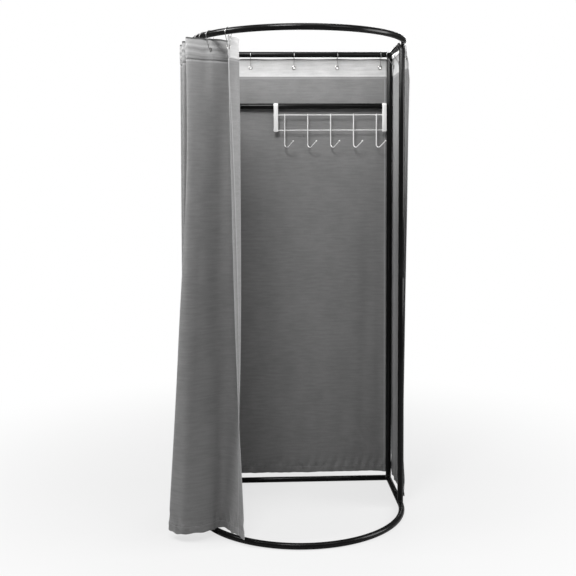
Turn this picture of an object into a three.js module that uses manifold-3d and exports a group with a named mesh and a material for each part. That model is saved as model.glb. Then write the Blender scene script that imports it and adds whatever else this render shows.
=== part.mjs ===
// Portable fitting room: a free-standing tube frame with a curved front, hung with four cloth curtains.
// Millimetres, +Z up. X = 0 is the middle, Y = 0 the centre line of the back rails, Z = 0 the floor.
// The doorway faces -Y.

import * as THREE from 'three';
import { mergeVertices } from 'three/addons/utils/BufferGeometryUtils.js';
import Module from 'manifold-3d';

const wasm = await Module();
wasm.setup();

// Frame
const TUBE_D = 25;
const TUBE_WALL = 1.5;
const FRAME_WIDTH = 900;
const FRAME_HEIGHT = 2000;
const SIDE_SPAN = 337.5;
const FIT_GAP = 0.3;
const SPIGOT_LENGTH = 28;
const CORNER_STUB = 17;
const POST_SPIGOT = 60;
const SWAGE_NECK = 25;
const SWAGE_TAPER = 25;
const TUBE_SIDES = 16;
const BOW_BORE_SIDES = 8;
const BOW_STEPS = 32;
const OVERRUN = 2;
const WELD_SHARE = 1e-6;

// Coat bar and its two screws
const BAR_BELOW_TOP = 245;
const BAR_PLUG = 14;
const SCREW_D = 6;
const SCREW_HOLE_D = 6.8;
const SCREW_HEAD_D = 11;
const SCREW_HEAD_H = 1.6;
const SCREW_SIDES = 10;
const SCREW_FLAT_SHARE = 0.7;
const SCREW_RIM_SHARE = 0.4;

// Hook rack, which hangs on the coat bar
const STRAP_WIDTH = 20;
const STRAP_T = 2;
const STRAP_FRONT_DROP = 117;
const STRAP_BACK_DROP = 12;
const STRAP_ARC_STEPS = 8;
const RACK_PITCH = 105;
const RACK_HOOKS = 5;
const RACK_WIRE_D = 4.5;
const RACK_TOP_WIRE_DROP = 41;
const RACK_BOTTOM_WIRE_DROP = 110;
const RACK_WIRE_OVERHANG = 2;
const RACK_SIDE_GAP = 2.5;
const RIGHT_STRAP_TO_HOOK = 37;
const LEFT_STRAP_TO_HOOK = 40;
const HOOK_WIRE_D = 5;
const HOOK_WIRE_SIDES = 8;
const HOOK_STEM_ABOVE_WIRE = 5;
const HOOK_DROP = 191;
const HOOK_BEND_R = 14;
const HOOK_ARM = 38;
const HOOK_ARM_RISE = 40 * Math.PI / 180;
const HOOK_TURN = 45 * Math.PI / 180;
const HOOK_BEND_STEPS = 5;
const HOOK_TIP_D = 8.4;

// The dipped tip of a hook: share of its radius along the arm, share of its radius across
const HOOK_TIP_SHARES = [[-0.85, 0.6], [-0.5, 0.87], [0.1, 1], [0.7, 0.72], [0.98, 0.2]];

// Wire hangers
const HANGER_WIRE_D = 2.5;
const HANGER_SIDES = 5;
const HANGER_LOOP_R = 19;
const HANGER_DROP = 57;
const HANGER_FOOT_R = 4;
const HANGER_TOP_STEPS = 9;
const HANGER_FOOT_STEPS = 4;
const HANGER_FIT_ROUNDS = 6;
const EYELET_HOLE_D = 10;
const EYELET_SEAT = 0.8;
const EYELET_SIDES = 8;

// Curtains
const CLOTH_T = 2;
const CLOTH_BELOW_RAIL = 4;
const CLOTH_FLOOR_GAP = 33;
const EYELET_REACH = 12;
const BACK_CLOTH_INSET = -8;
const BACK_EYELET_INSET = 41.5;
const BACK_EYELETS = 5;
const BACK_WAVE = 1.5;
const BACK_WAVE_STEPS = 4;
const SIDE_CLOTH_PAST_POST = 18;
const SIDE_CLOTH_FRONT_INSET = 19.5;
const SIDE_EYELET_INSET = 28.75;
const SIDE_EYELETS = 3;
const SIDE_STEPS = 10;
const SIDE_EDGE_BULGE = 20;
const SIDE_BULGE_START_SHARE = 0.6;
const SIDE_BULGE_HEM_SHARE = 0.1;
const HEADER_H = 90;
const FRONT_START_FLAP = 50;
const FRONT_EDGE_FLAP = 20;
const FRONT_FLARE_START_SHARE = 0.75;
const FRONT_ROW_SHARES = [0, 0.18, 0.36, 0.54, FRONT_FLARE_START_SHARE, 1];

// Where the front curtain's eyelets stand on the bow, in degrees from the left front post
const FRONT_EYELET_ANGLES = [2.5, 7.8, 13.1, 18.4, 23.7, 29, 35.5, 49.6];
const FRONT_START_SHIFT = 1.7;
const FRONT_EDGE_SHIFT = 2.6;

// Where the cloth under each eyelet stands at the hem, in the same degrees
const FRONT_HEM_ANGLES = [2.7, 8.1, 13.6, 19, 24, 27.4, 39.3, 56.5];

// How far each fold reaches out from the rail (minus: in), under the rail and at the hem
const FRONT_TOP_FOLDS = [-96, 56, -98, 66, -96, 97, -94];
const FRONT_HEM_FOLDS = [-98, 66, -100, 90, -100, 178, -12];

// One fold between two eyelets: share of the way along the rail, share of the fold's depth
const TIGHT_FOLD_SHARES = [
  [0, 0], [0.22, 0.06], [0.3, 0.3], [0.34, 0.75], [0.42, 0.97],
  [0.58, 0.97], [0.66, 0.75], [0.7, 0.3], [0.78, 0.06],
];
const WIDE_FOLD_SHARES = [
  [0, 0], [0.06, 0.06], [0.085, 0.3], [0.1, 0.75], [0.16, 0.97],
  [0.42, 1], [0.66, 0.98], [0.84, 0.76], [0.93, 0.3], [0.96, 0.06],
];
const FLAP_SHARES = [[0, 0], [0.55, 0.05], [0.85, 0.5], [1, 1]];

// Sizes that follow from the ones above
const TUBE_R = TUBE_D / 2;
const TUBE_CORNER_R = TUBE_R / Math.cos(Math.PI / TUBE_SIDES);
const BORE_R = TUBE_R - TUBE_WALL;
const SPIGOT_R = BORE_R - FIT_GAP;
const SPIGOT_FLAT_R = SPIGOT_R * Math.cos(Math.PI / BOW_BORE_SIDES);
const HALF_WIDTH = FRAME_WIDTH / 2 - TUBE_R;
const BOW_R = HALF_WIDTH;
const BASE_Z = TUBE_R;
const TOP_Z = FRAME_HEIGHT - TUBE_R;
const BAR_Z = FRAME_HEIGHT - BAR_BELOW_TOP;
const POST_SPLIT_Z = FRAME_HEIGHT / 2;
const TUBE_END = CORNER_STUB + FIT_GAP;
const BOW_CUT = Math.asin(TUBE_END / BOW_R);
const CLOTH_TOP_Z = FRAME_HEIGHT - TUBE_D - CLOTH_BELOW_RAIL;

// Finishes
const paintedTube = { color: 0x17181a, roughness: 0.42, metalness: 0.2 };
const nylon = { color: 0x1b1c1e, roughness: 0.55, metalness: 0 };
const zincScrew = { color: 0x8f9194, roughness: 0.35, metalness: 0.9 };
const whitePaint = { color: 0xe6e6e4, roughness: 0.35, metalness: 0.1 };
const zincWire = { color: 0xa7a9ab, roughness: 0.35, metalness: 0.9 };
const greyCloth = { color: 0x6c6d6f, roughness: 0.9, metalness: 0, side: THREE.DoubleSide };

const fittingRoom = new THREE.Group();

function addPiece(name, geometry, finish, parent = fittingRoom) {
  const mesh = new THREE.Mesh(geometry, new THREE.MeshStandardMaterial(finish));
  mesh.name = name;
  parent.add(mesh);
  return mesh;
}

// A closed mesh with shared vertices and its faces pointing out
function closed(geometry) {
  const bare = geometry.index ? geometry.toNonIndexed() : geometry.clone();
  for (const name of Object.keys(bare.attributes)) {
    if (name !== 'position') bare.deleteAttribute(name);
  }
  const merged = mergeVertices(bare, TUBE_D * WELD_SHARE);
  const p = merged.attributes.position;
  const corners = [];
  const a = new THREE.Vector3();
  const b = new THREE.Vector3();
  const c = new THREE.Vector3();
  let volume = 0;
  for (let i = 0; i < merged.index.count; i += 3) {
    const [u, v, w] = [0, 1, 2].map((k) => merged.index.getX(i + k));
    if (u === v || v === w || w === u) continue;
    corners.push([u, v, w]);
    volume += a.fromBufferAttribute(p, u).dot(b.fromBufferAttribute(p, v).cross(c.fromBufferAttribute(p, w)));
  }
  merged.setIndex(corners.flatMap(([u, v, w]) => (volume < 0 ? [u, w, v] : [u, v, w])));
  return merged;
}

function asManifold(geometry) {
  const mesh = closed(geometry);
  return new wasm.Manifold(new wasm.Mesh({
    numProp: 3,
    vertProperties: new Float32Array(mesh.attributes.position.array),
    triVerts: new Uint32Array(mesh.index.array),
  }));
}

function asGeometry(manifold) {
  const mesh = manifold.getMesh();
  const geometry = new THREE.BufferGeometry();
  geometry.setAttribute('position', new THREE.BufferAttribute(new Float32Array(mesh.vertProperties), 3));
  geometry.setIndex(Array.from(mesh.triVerts));
  return geometry;
}

function join(...geometries) {
  return asGeometry(geometries.map(asManifold).reduce((whole, piece) => whole.add(piece)));
}

function cut(geometry, ...tools) {
  return asGeometry(tools.map(asManifold).reduce((left, tool) => left.subtract(tool), asManifold(geometry)));
}

// A form turned about Z from [radius, height] points, with flats that stand at those radii
function turned(profile, sides = TUBE_SIDES) {
  const out = 1 / Math.cos(Math.PI / sides);
  const points = profile.map(([r, z]) => new THREE.Vector2(r * out, z));
  return closed(new THREE.LatheGeometry(points, sides, Math.PI / sides).rotateX(Math.PI / 2));
}

function rod(radius, length, sides) {
  return turned([[0, 0], [radius, 0], [radius, length], [0, length]], sides);
}

function straightTube(length) {
  return turned([[TUBE_R, 0], [TUBE_R, length], [BORE_R, length], [BORE_R, 0], [TUBE_R, 0]]);
}

// Half of a post: the lower half ends in a swaged spigot that plugs into the upper half
function lowerPost(length) {
  const neck = SPIGOT_R - TUBE_WALL;
  return turned([
    [TUBE_R, 0], [TUBE_R, length], [SPIGOT_R, length], [SPIGOT_R, length + POST_SPIGOT],
    [neck, length + POST_SPIGOT], [neck, length - SWAGE_NECK], [BORE_R, length - SWAGE_NECK - SWAGE_TAPER],
    [BORE_R, 0], [TUBE_R, 0],
  ]);
}

function upperPost(length, hasBarHole, baseZ) {
  const tube = straightTube(length);
  if (!hasBarHole) return tube;
  const hole = rod(SCREW_HOLE_D / 2, TUBE_D + OVERRUN * 2, SCREW_SIDES);
  hole.rotateY(Math.PI / 2).translate(-TUBE_R - OVERRUN, 0, BAR_Z - baseZ);
  return cut(tube, hole);
}

// The bent tube at the front: a half circle seen from above
class BowLine extends THREE.Curve {
  getPoint(t, target = new THREE.Vector3()) {
    const a = Math.PI + THREE.MathUtils.lerp(BOW_CUT, Math.PI - BOW_CUT, t);
    return target.set(BOW_R * Math.cos(a), BOW_R * Math.sin(a), 0);
  }
}
function ringOutline(radius, sides, Kind) {
  const out = radius / Math.cos(Math.PI / sides);
  const outline = new Kind();
  for (let i = 0; i < sides; i++) {
    const a = (i + 0.5) * 2 * Math.PI / sides;
    if (i === 0) outline.moveTo(out * Math.cos(a), out * Math.sin(a));
    else outline.lineTo(out * Math.cos(a), out * Math.sin(a));
  }
  outline.closePath();
  return outline;
}

function frontBow() {
  const section = ringOutline(TUBE_R, TUBE_SIDES, THREE.Shape);
  section.holes.push(ringOutline(BORE_R, BOW_BORE_SIDES, THREE.Path));
  return closed(new THREE.ExtrudeGeometry(section, { steps: BOW_STEPS, extrudePath: new BowLine() }));
}

// The arm of a front corner that carries the bow: it points along the bow's first straight facet
function bowArm(way) {
  const pointAt = (angle) => new THREE.Vector3(way * BOW_R * (Math.cos(angle) - 1), -BOW_R * Math.sin(angle), 0);
  const mouth = pointAt(BOW_CUT);
  const facetTurn = BOW_CUT + (Math.PI / 2 - BOW_CUT) / BOW_STEPS;
  const arm = (geometry, before, turn) => geometry.translate(0, 0, -before)
    .rotateX(Math.PI / 2).rotateZ(-way * turn).translate(...mouth);
  const spigot = rod(SPIGOT_FLAT_R, SPIGOT_LENGTH + CORNER_STUB / 2, BOW_BORE_SIDES);
  return [
    arm(rod(TUBE_R, CORNER_STUB, TUBE_SIDES), CORNER_STUB + FIT_GAP, BOW_CUT),
    arm(spigot, CORNER_STUB / 2, facetTurn),
  ];
}

// A three-way corner: a round core, three stubs as thick as the tube, and a spigot on each
function cornerPiece(directions, ...moreArms) {
  const core = new THREE.SphereGeometry(TUBE_R, TUBE_SIDES, TUBE_SIDES / 2);
  const arms = directions.flatMap((way) => {
    const turn = new THREE.Quaternion().setFromUnitVectors(new THREE.Vector3(0, 0, 1), way);
    const stub = rod(TUBE_R, CORNER_STUB, TUBE_SIDES).applyQuaternion(turn);
    const spigot = rod(SPIGOT_FLAT_R, CORNER_STUB + SPIGOT_LENGTH, BOW_BORE_SIDES);
    return [stub, spigot.applyQuaternion(turn)];
  });
  return join(core, ...arms, ...moreArms);
}

// A round wire along points of its own XY plane, as thick at each point as radii says
function wire(points, radii, sides, loops) {
  const count = points.length;
  const rings = points.map((point, i) => {
    const before = points[loops ? (i + count - 1) % count : Math.max(i - 1, 0)];
    const after = points[loops ? (i + 1) % count : Math.min(i + 1, count - 1)];
    const along = after.clone().sub(before).normalize();
    const side = new THREE.Vector2(-along.y, along.x);
    return Array.from({ length: sides }, (_, k) => {
      const a = k * 2 * Math.PI / sides;
      const reach = radii[i] * Math.cos(a);
      return [point.x + side.x * reach, point.y + side.y * reach, radii[i] * Math.sin(a)];
    });
  });
  const index = [];
  const spans = loops ? count : count - 1;
  for (let i = 0; i < spans; i++) {
    const here = i * sides;
    const next = ((i + 1) % count) * sides;
    for (let k = 0; k < sides; k++) {
      const k2 = (k + 1) % sides;
      index.push(here + k, next + k, next + k2, here + k, next + k2, here + k2);
    }
  }
  if (!loops) {
    for (let k = 1; k < sides - 1; k++) {
      const last = (count - 1) * sides;
      index.push(0, k, k + 1, last, last + k + 1, last + k);
    }
  }
  const geometry = new THREE.BufferGeometry();
  geometry.setAttribute('position', new THREE.Float32BufferAttribute(rings.flat(2), 3));
  geometry.setIndex(index);
  return closed(geometry);
}

function arc(cx, cy, radius, from, to, steps) {
  return Array.from({ length: steps + 1 }, (_, i) => {
    const a = THREE.MathUtils.lerp(from, to, i / steps);
    return new THREE.Vector2(cx + radius * Math.cos(a), cy + radius * Math.sin(a));
  });
}

// Frame rails, bows, corners and posts
const SIDES = [['left', -1], ['right', 1]];
const LEVELS = [['base', BASE_Z, 1], ['top', TOP_Z, -1]];
const railGeometry = straightTube(2 * HALF_WIDTH - 2 * TUBE_END);
const sideRailGeometry = straightTube(SIDE_SPAN - 2 * TUBE_END);
const bowGeometry = frontBow();

for (const [level, z, inward] of LEVELS) {
  const ring = new THREE.Group();
  ring.position.z = z;
  fittingRoom.add(ring);

  const back = addPiece(`${level}_back_rail`, railGeometry, paintedTube, ring);
  back.position.x = TUBE_END - HALF_WIDTH;
  back.rotation.y = Math.PI / 2;

  const bow = addPiece(`${level}_front_bow`, bowGeometry, paintedTube, ring);
  bow.position.y = -SIDE_SPAN;

  for (const [side, way] of SIDES) {
    const rail = addPiece(`${level}_${side}_rail`, sideRailGeometry, paintedTube, ring);
    rail.position.set(way * HALF_WIDTH, -TUBE_END, 0);
    rail.rotation.x = Math.PI / 2;

    const toPost = new THREE.Vector3(0, 0, inward);
    const backCorner = cornerPiece([new THREE.Vector3(-way, 0, 0), new THREE.Vector3(0, -1, 0), toPost]);
    addPiece(`corner_${level}_back_${side}`, backCorner, nylon, ring).position.x = way * HALF_WIDTH;
    const frontCorner = cornerPiece([new THREE.Vector3(0, 1, 0), toPost], ...bowArm(way));
    addPiece(`corner_${level}_front_${side}`, frontCorner, nylon, ring).position
      .set(way * HALF_WIDTH, -SIDE_SPAN, 0);
  }
}

const lowerLength = POST_SPLIT_Z - BASE_Z - TUBE_END;
const upperLength = TOP_Z - TUBE_END - POST_SPLIT_Z - FIT_GAP;
const upperZ = POST_SPLIT_Z + FIT_GAP;
for (const [side, way] of SIDES) {
  for (const [place, y] of [['back', 0], ['front', -SIDE_SPAN]]) {
    const lower = addPiece(`post_${place}_${side}_lower`, lowerPost(lowerLength), paintedTube);
    lower.position.set(way * HALF_WIDTH, y, BASE_Z + TUBE_END);
    const upper = addPiece(`post_${place}_${side}_upper`, upperPost(upperLength, place === 'back', upperZ), paintedTube);
    upper.position.set(way * HALF_WIDTH, y, upperZ);
  }
}

// Coat bar: a tube with a plugged and tapped end against each back post
const barLength = 2 * (HALF_WIDTH - TUBE_CORNER_R - FIT_GAP);
const tapR = SCREW_D / 2 + FIT_GAP;
const barGeometry = turned([
  [TUBE_R, 0], [TUBE_R, barLength], [tapR, barLength], [tapR, barLength - BAR_PLUG], [BORE_R, barLength - BAR_PLUG],
  [BORE_R, BAR_PLUG], [tapR, BAR_PLUG], [tapR, 0], [TUBE_R, 0],
]);
const coatBar = addPiece('coat_bar', barGeometry, paintedTube);
coatBar.position.set(-barLength / 2, 0, BAR_Z);
coatBar.rotation.y = Math.PI / 2;

const shankLength = TUBE_D + BAR_PLUG;
const screwGeometry = turned([
  [0, -SCREW_HEAD_H], [SCREW_HEAD_D / 2 * SCREW_FLAT_SHARE, -SCREW_HEAD_H],
  [SCREW_HEAD_D / 2, -SCREW_HEAD_H * SCREW_RIM_SHARE],
  [SCREW_HEAD_D / 2, 0], [SCREW_D / 2, 0], [SCREW_D / 2, shankLength], [0, shankLength],
], SCREW_SIDES);
for (const [side, way] of SIDES) {
  const screw = addPiece(`coat_bar_screw_${side}`, screwGeometry, zincScrew);
  screw.position.set(way * (HALF_WIDTH + TUBE_CORNER_R + FIT_GAP), 0, BAR_Z);
  screw.rotation.y = -way * Math.PI / 2;
}

// Hook rack: two flat straps bent over the bar, two cross wires behind them, five hooks in front of the wires
const strapInner = (TUBE_CORNER_R + FIT_GAP) / Math.cos(Math.PI / 2 / STRAP_ARC_STEPS);
const strapOuter = strapInner + STRAP_T;
const rightStrapX = HALF_WIDTH - TUBE_CORNER_R - RACK_SIDE_GAP - STRAP_WIDTH / 2;
const lastHookX = rightStrapX - RIGHT_STRAP_TO_HOOK;
const firstHookX = lastHookX - RACK_PITCH * (RACK_HOOKS - 1);
const leftStrapX = firstHookX - LEFT_STRAP_TO_HOOK;

function strap() {
  const outline = new THREE.Shape([
    ...arc(0, 0, strapOuter, 0, Math.PI, STRAP_ARC_STEPS),
    new THREE.Vector2(-strapOuter, -STRAP_FRONT_DROP),
    new THREE.Vector2(-strapInner, -STRAP_FRONT_DROP),
    ...arc(0, 0, strapInner, Math.PI, 0, STRAP_ARC_STEPS),
    new THREE.Vector2(strapInner, -STRAP_BACK_DROP),
    new THREE.Vector2(strapOuter, -STRAP_BACK_DROP),
  ]);
  return closed(new THREE.ExtrudeGeometry(outline, { depth: STRAP_WIDTH, bevelEnabled: false }));
}

const rack = new THREE.Group();
rack.position.z = BAR_Z;
fittingRoom.add(rack);
const strapGeometry = strap();
for (const [side, x] of [['left', leftStrapX], ['right', rightStrapX]]) {
  const bracket = addPiece(`rack_bracket_${side}`, strapGeometry, whitePaint, rack);
  bracket.position.x = x - STRAP_WIDTH / 2;
  bracket.rotation.set(Math.PI / 2, Math.PI / 2, 0);
}

const rackWireY = RACK_WIRE_D / 2 / Math.cos(Math.PI / HOOK_WIRE_SIDES) + FIT_GAP - strapInner;
const rackWireLength = rightStrapX - leftStrapX + STRAP_WIDTH + 2 * RACK_WIRE_OVERHANG;
const rackWireGeometry = rod(RACK_WIRE_D / 2, rackWireLength, HOOK_WIRE_SIDES);
for (const [level, drop] of [['top', RACK_TOP_WIRE_DROP], ['bottom', RACK_BOTTOM_WIRE_DROP]]) {
  const crossWire = addPiece(`rack_wire_${level}`, rackWireGeometry, whitePaint, rack);
  crossWire.position.set(leftStrapX - STRAP_WIDTH / 2 - RACK_WIRE_OVERHANG, rackWireY, -drop);
  crossWire.rotation.y = Math.PI / 2;
}

// A hook seen from its side: x is its reach, y its height over the lowest point of the wire's middle
function hook() {
  const stemTop = HOOK_DROP - RACK_TOP_WIRE_DROP + HOOK_STEM_ABOVE_WIRE - HOOK_WIRE_D / 2;
  const bend = arc(HOOK_BEND_R, HOOK_BEND_R, HOOK_BEND_R, Math.PI, Math.PI * 1.5 + HOOK_ARM_RISE, HOOK_BEND_STEPS);
  const along = new THREE.Vector2(Math.cos(HOOK_ARM_RISE), Math.sin(HOOK_ARM_RISE));
  const armFoot = bend[HOOK_BEND_STEPS];
  const tipR = HOOK_TIP_D / 2;
  const points = [new THREE.Vector2(0, stemTop), ...bend];
  const radii = points.map(() => HOOK_WIRE_D / 2);
  for (const [reach, width] of HOOK_TIP_SHARES) {
    points.push(armFoot.clone().addScaledVector(along, HOOK_ARM + reach * tipR));
    radii.push(width * tipR);
  }
  return wire(points, radii, HOOK_WIRE_SIDES, false);
}

const hookGeometry = hook();
const hookY = rackWireY - (RACK_WIRE_D / 2 + HOOK_WIRE_D / 2) / Math.cos(Math.PI / HOOK_WIRE_SIDES) - FIT_GAP;
for (let i = 0; i < RACK_HOOKS; i++) {
  const seat = new THREE.Group();
  seat.position.set(firstHookX + i * RACK_PITCH, hookY, HOOK_WIRE_D / 2 - HOOK_DROP);
  seat.rotation.z = HOOK_TURN - Math.PI / 2;
  rack.add(seat);
  addPiece(`rack_hook_${i + 1}`, hookGeometry, whitePaint, seat).rotation.x = Math.PI / 2;
}

// Wire hanger: a closed pear of wire in its own XY plane, with the rail's centre at 0, 0
const hangerTopY = TUBE_CORNER_R + FIT_GAP + HANGER_WIRE_D / 2 - HANGER_LOOP_R;
const hangerFootY = HANGER_FOOT_R - HANGER_DROP;

function hanger() {
  const lean = Math.asin((HANGER_LOOP_R - HANGER_FOOT_R) / (hangerTopY - hangerFootY));
  const points = [
    ...arc(0, hangerTopY, HANGER_LOOP_R, -lean, Math.PI + lean, HANGER_TOP_STEPS),
    ...arc(0, hangerFootY, HANGER_FOOT_R, Math.PI + lean, 2 * Math.PI - lean, HANGER_FOOT_STEPS),
  ];
  return wire(points, points.map(() => HANGER_WIRE_D / 2), HANGER_SIDES, true);
}

const hangerGeometry = hanger();
const eyeletDrop = EYELET_HOLE_D / 2 - EYELET_SEAT - HANGER_WIRE_D / 2;

// Hangs one hanger on a top rail at x, y. facing turns its plane about Z, and tilt swings its foot outwards.
function hangOn(name, x, y, facing, tilt) {
  const seat = new THREE.Group();
  seat.position.set(x, y, TOP_Z);
  seat.rotation.z = facing;
  fittingRoom.add(seat);
  const loop = addPiece(name, hangerGeometry, zincWire, seat);
  loop.rotation.order = 'YXZ';
  loop.rotation.set(Math.PI / 2, -tilt, 0);
}

// A hole for a hanger, along the local X axis of a cloth that it pierces
function eyeletHole(x, y, z, facing) {
  const hole = rod(EYELET_HOLE_D / 2, EYELET_REACH * 2, EYELET_SIDES);
  return hole.rotateY(Math.PI / 2).translate(-EYELET_REACH, 0, 0).rotateZ(facing).translate(x, y, z);
}

// Cloth hung along a line seen from above. lineAt gives the line's points at each height. Both faces are
// split along the same diagonals, so that the cloth keeps its thickness where it twists.
function hangingCloth(lineAt, heights) {
  const rows = heights.map((z) => {
    const line = lineAt(z);
    return line.map((point, i) => {
      const along = line[Math.min(i + 1, line.length - 1)].clone().sub(line[Math.max(i - 1, 0)]).normalize();
      const half = new THREE.Vector2(-along.y, along.x).multiplyScalar(CLOTH_T / 2);
      return [[point.x + half.x, point.y + half.y, z], [point.x - half.x, point.y - half.y, z]];
    });
  });
  const width = rows[0].length;
  const at = (row, i, face) => (row * width + i) * 2 + face;
  const index = [];
  const quad = (a, b, c, d) => index.push(a, b, c, a, c, d);
  for (let i = 0; i < width - 1; i++) {
    for (let row = 0; row < rows.length - 1; row++) {
      quad(at(row, i, 0), at(row, i + 1, 0), at(row + 1, i + 1, 0), at(row + 1, i, 0));
      quad(at(row, i, 1), at(row + 1, i, 1), at(row + 1, i + 1, 1), at(row, i + 1, 1));
    }
    const top = rows.length - 1;
    quad(at(top, i, 0), at(top, i + 1, 0), at(top, i + 1, 1), at(top, i, 1));
    quad(at(0, i, 1), at(0, i + 1, 1), at(0, i + 1, 0), at(0, i, 0));
  }
  for (let row = 0; row < rows.length - 1; row++) {
    const end = width - 1;
    quad(at(row, 0, 1), at(row, 0, 0), at(row + 1, 0, 0), at(row + 1, 0, 1));
    quad(at(row, end, 0), at(row, end, 1), at(row + 1, end, 1), at(row + 1, end, 0));
  }
  const geometry = new THREE.BufferGeometry();
  geometry.setAttribute('position', new THREE.Float32BufferAttribute(rows.flat(3), 3));
  geometry.setIndex(index);
  return closed(geometry);
}

// Back curtain: hangs behind the coat bar, its inner face against the backs of the rack's straps
const backClothY = strapOuter + FIT_GAP + CLOTH_T / 2 + BACK_WAVE;
const backTilt = Math.asin(backClothY / HANGER_DROP);
const backEyeletZ = TOP_Z - HANGER_DROP * Math.cos(backTilt) - eyeletDrop;
const backClothW = 2 * (HALF_WIDTH - BACK_CLOTH_INSET);
const backPitch = 2 * (HALF_WIDTH - BACK_EYELET_INSET) / (BACK_EYELETS - 1);
const backSteps = Math.round(backClothW / backPitch * BACK_WAVE_STEPS);
const backLine = () => Array.from({ length: backSteps + 1 }, (_, i) => {
  const x = (i / backSteps - 0.5) * backClothW;
  const wave = BACK_WAVE * Math.sin(2 * Math.PI * x / backPitch);
  return new THREE.Vector2(x, backClothY + wave);
});
const backHoles = [];
for (let i = 0; i < BACK_EYELETS; i++) {
  const x = (i - (BACK_EYELETS - 1) / 2) * backPitch;
  hangOn(`hanger_back_${i + 1}`, x, 0, Math.PI / 2, backTilt);
  backHoles.push(eyeletHole(x, backClothY, backEyeletZ, Math.PI / 2));
}
addPiece('back_curtain', cut(hangingCloth(backLine, [CLOTH_FLOOR_GAP, CLOTH_TOP_Z]), ...backHoles), greyCloth);

// Side curtains: hang outside the posts and the bar's screw heads, and the front edge stands off in a soft curl
const sideClothX = HALF_WIDTH + TUBE_CORNER_R + FIT_GAP + SCREW_HEAD_H + FIT_GAP + CLOTH_T / 2;
const sidePitch = (SIDE_SPAN - 2 * SIDE_EYELET_INSET) / (SIDE_EYELETS - 1);
const sideClothFrontY = SIDE_CLOTH_FRONT_INSET - SIDE_SPAN;
const headerFootZ = CLOTH_TOP_Z - HEADER_H;

// How far outwards the side cloth stands, at a share of its width from the back. The curl is fullest at the
// foot of the header.
function sideReach(share, z) {
  const lift = THREE.MathUtils.smoothstep(share, SIDE_BULGE_START_SHARE, 1) * SIDE_EDGE_BULGE;
  const fullness = z > headerFootZ
    ? (CLOTH_TOP_Z - z) / HEADER_H
    : THREE.MathUtils.mapLinear(z, CLOTH_FLOOR_GAP, headerFootZ, SIDE_BULGE_HEM_SHARE, 1);
  return sideClothX + lift * fullness;
}

for (const [side, way] of SIDES) {
  const line = (z) => Array.from({ length: SIDE_STEPS + 1 }, (_, i) => {
    const share = i / SIDE_STEPS;
    const y = THREE.MathUtils.lerp(SIDE_CLOTH_PAST_POST, sideClothFrontY, share);
    return new THREE.Vector2(way * sideReach(share, z), y);
  });
  const facing = way > 0 ? 0 : Math.PI;
  const holes = [];
  for (let i = 0; i < SIDE_EYELETS; i++) {
    const y = -SIDE_EYELET_INSET - i * sidePitch;
    const at = (SIDE_CLOTH_PAST_POST - y) / (SIDE_CLOTH_PAST_POST - sideClothFrontY) * SIDE_STEPS;
    let tilt = 0;
    let reach = sideClothX;
    let z = TOP_Z;
    for (let round = 0; round < HANGER_FIT_ROUNDS; round++) {
      tilt = Math.asin((reach - HALF_WIDTH) / HANGER_DROP);
      z = TOP_Z - HANGER_DROP * Math.cos(tilt) - eyeletDrop;
      const [near, far] = [Math.floor(at), Math.ceil(at)].map((k) => sideReach(k / SIDE_STEPS, z));
      reach = THREE.MathUtils.lerp(near, far, at - Math.floor(at));
    }
    hangOn(`hanger_${side}_${i + 1}`, way * HALF_WIDTH, y, facing, tilt);
    holes.push(eyeletHole(way * reach, y, z, facing));
  }
  const sheet = hangingCloth(line, [CLOTH_FLOOR_GAP, headerFootZ, CLOTH_TOP_Z]);
  addPiece(`${side}_curtain`, cut(sheet, ...holes), greyCloth);
}

// Front curtain: drawn open and gathered at the left end of the bow. Its folds lie by turns inside and
// outside the rail, pass under it at each eyelet, and flare towards the hem.
const degrees = Math.PI / 180;
function bowPoint(angle, radius) {
  const a = Math.PI + angle * degrees;
  return new THREE.Vector2(radius * Math.cos(a), radius * Math.sin(a) - SIDE_SPAN);
}

function frontLine(z) {
  const low = 1 - (z - CLOTH_FLOOR_GAP) / ((CLOTH_TOP_Z - CLOTH_FLOOR_GAP) * FRONT_FLARE_START_SHARE);
  const flare = THREE.MathUtils.smoothstep(low, 0, 1);
  const mix = (top, hem) => top.map((value, i) => THREE.MathUtils.lerp(value, hem[i], flare));
  const angles = mix(FRONT_EYELET_ANGLES, FRONT_HEM_ANGLES);
  const folds = mix(FRONT_TOP_FOLDS, FRONT_HEM_FOLDS);
  const last = angles.length - 1;
  const line = FLAP_SHARES.slice(1).reverse().map(([along, depth]) => bowPoint(
    angles[0] + FRONT_START_SHIFT * along,
    BOW_R + FRONT_START_FLAP * depth,
  ));
  for (let i = 0; i < last; i++) {
    const shares = i === last - 1 ? WIDE_FOLD_SHARES : TIGHT_FOLD_SHARES;
    for (const [along, depth] of shares) {
      line.push(bowPoint(THREE.MathUtils.lerp(angles[i], angles[i + 1], along), BOW_R + folds[i] * depth));
    }
  }
  for (const [along, depth] of FLAP_SHARES) {
    line.push(bowPoint(angles[last] + FRONT_EDGE_SHIFT * along, BOW_R + FRONT_EDGE_FLAP * depth));
  }
  return line;
}

const frontHeights = FRONT_ROW_SHARES.map((share) => THREE.MathUtils.lerp(CLOTH_FLOOR_GAP, CLOTH_TOP_Z, share));
const frontEyeletZ = TOP_Z - HANGER_DROP - eyeletDrop;
const frontHoles = FRONT_EYELET_ANGLES.map((angle, i) => {
  const facing = Math.PI + angle * degrees;
  const foot = bowPoint(angle, BOW_R);
  hangOn(`hanger_front_${i + 1}`, foot.x, foot.y, facing, 0);
  return eyeletHole(foot.x, foot.y, frontEyeletZ, facing);
});
addPiece('front_curtain', cut(hangingCloth(frontLine, frontHeights), ...frontHoles), greyCloth);

export default fittingRoom;
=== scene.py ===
from math import asin, ceil, cos, pi, radians, sin

import bmesh
import bpy
import numpy as np
from mathutils import Matrix, Vector


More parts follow.
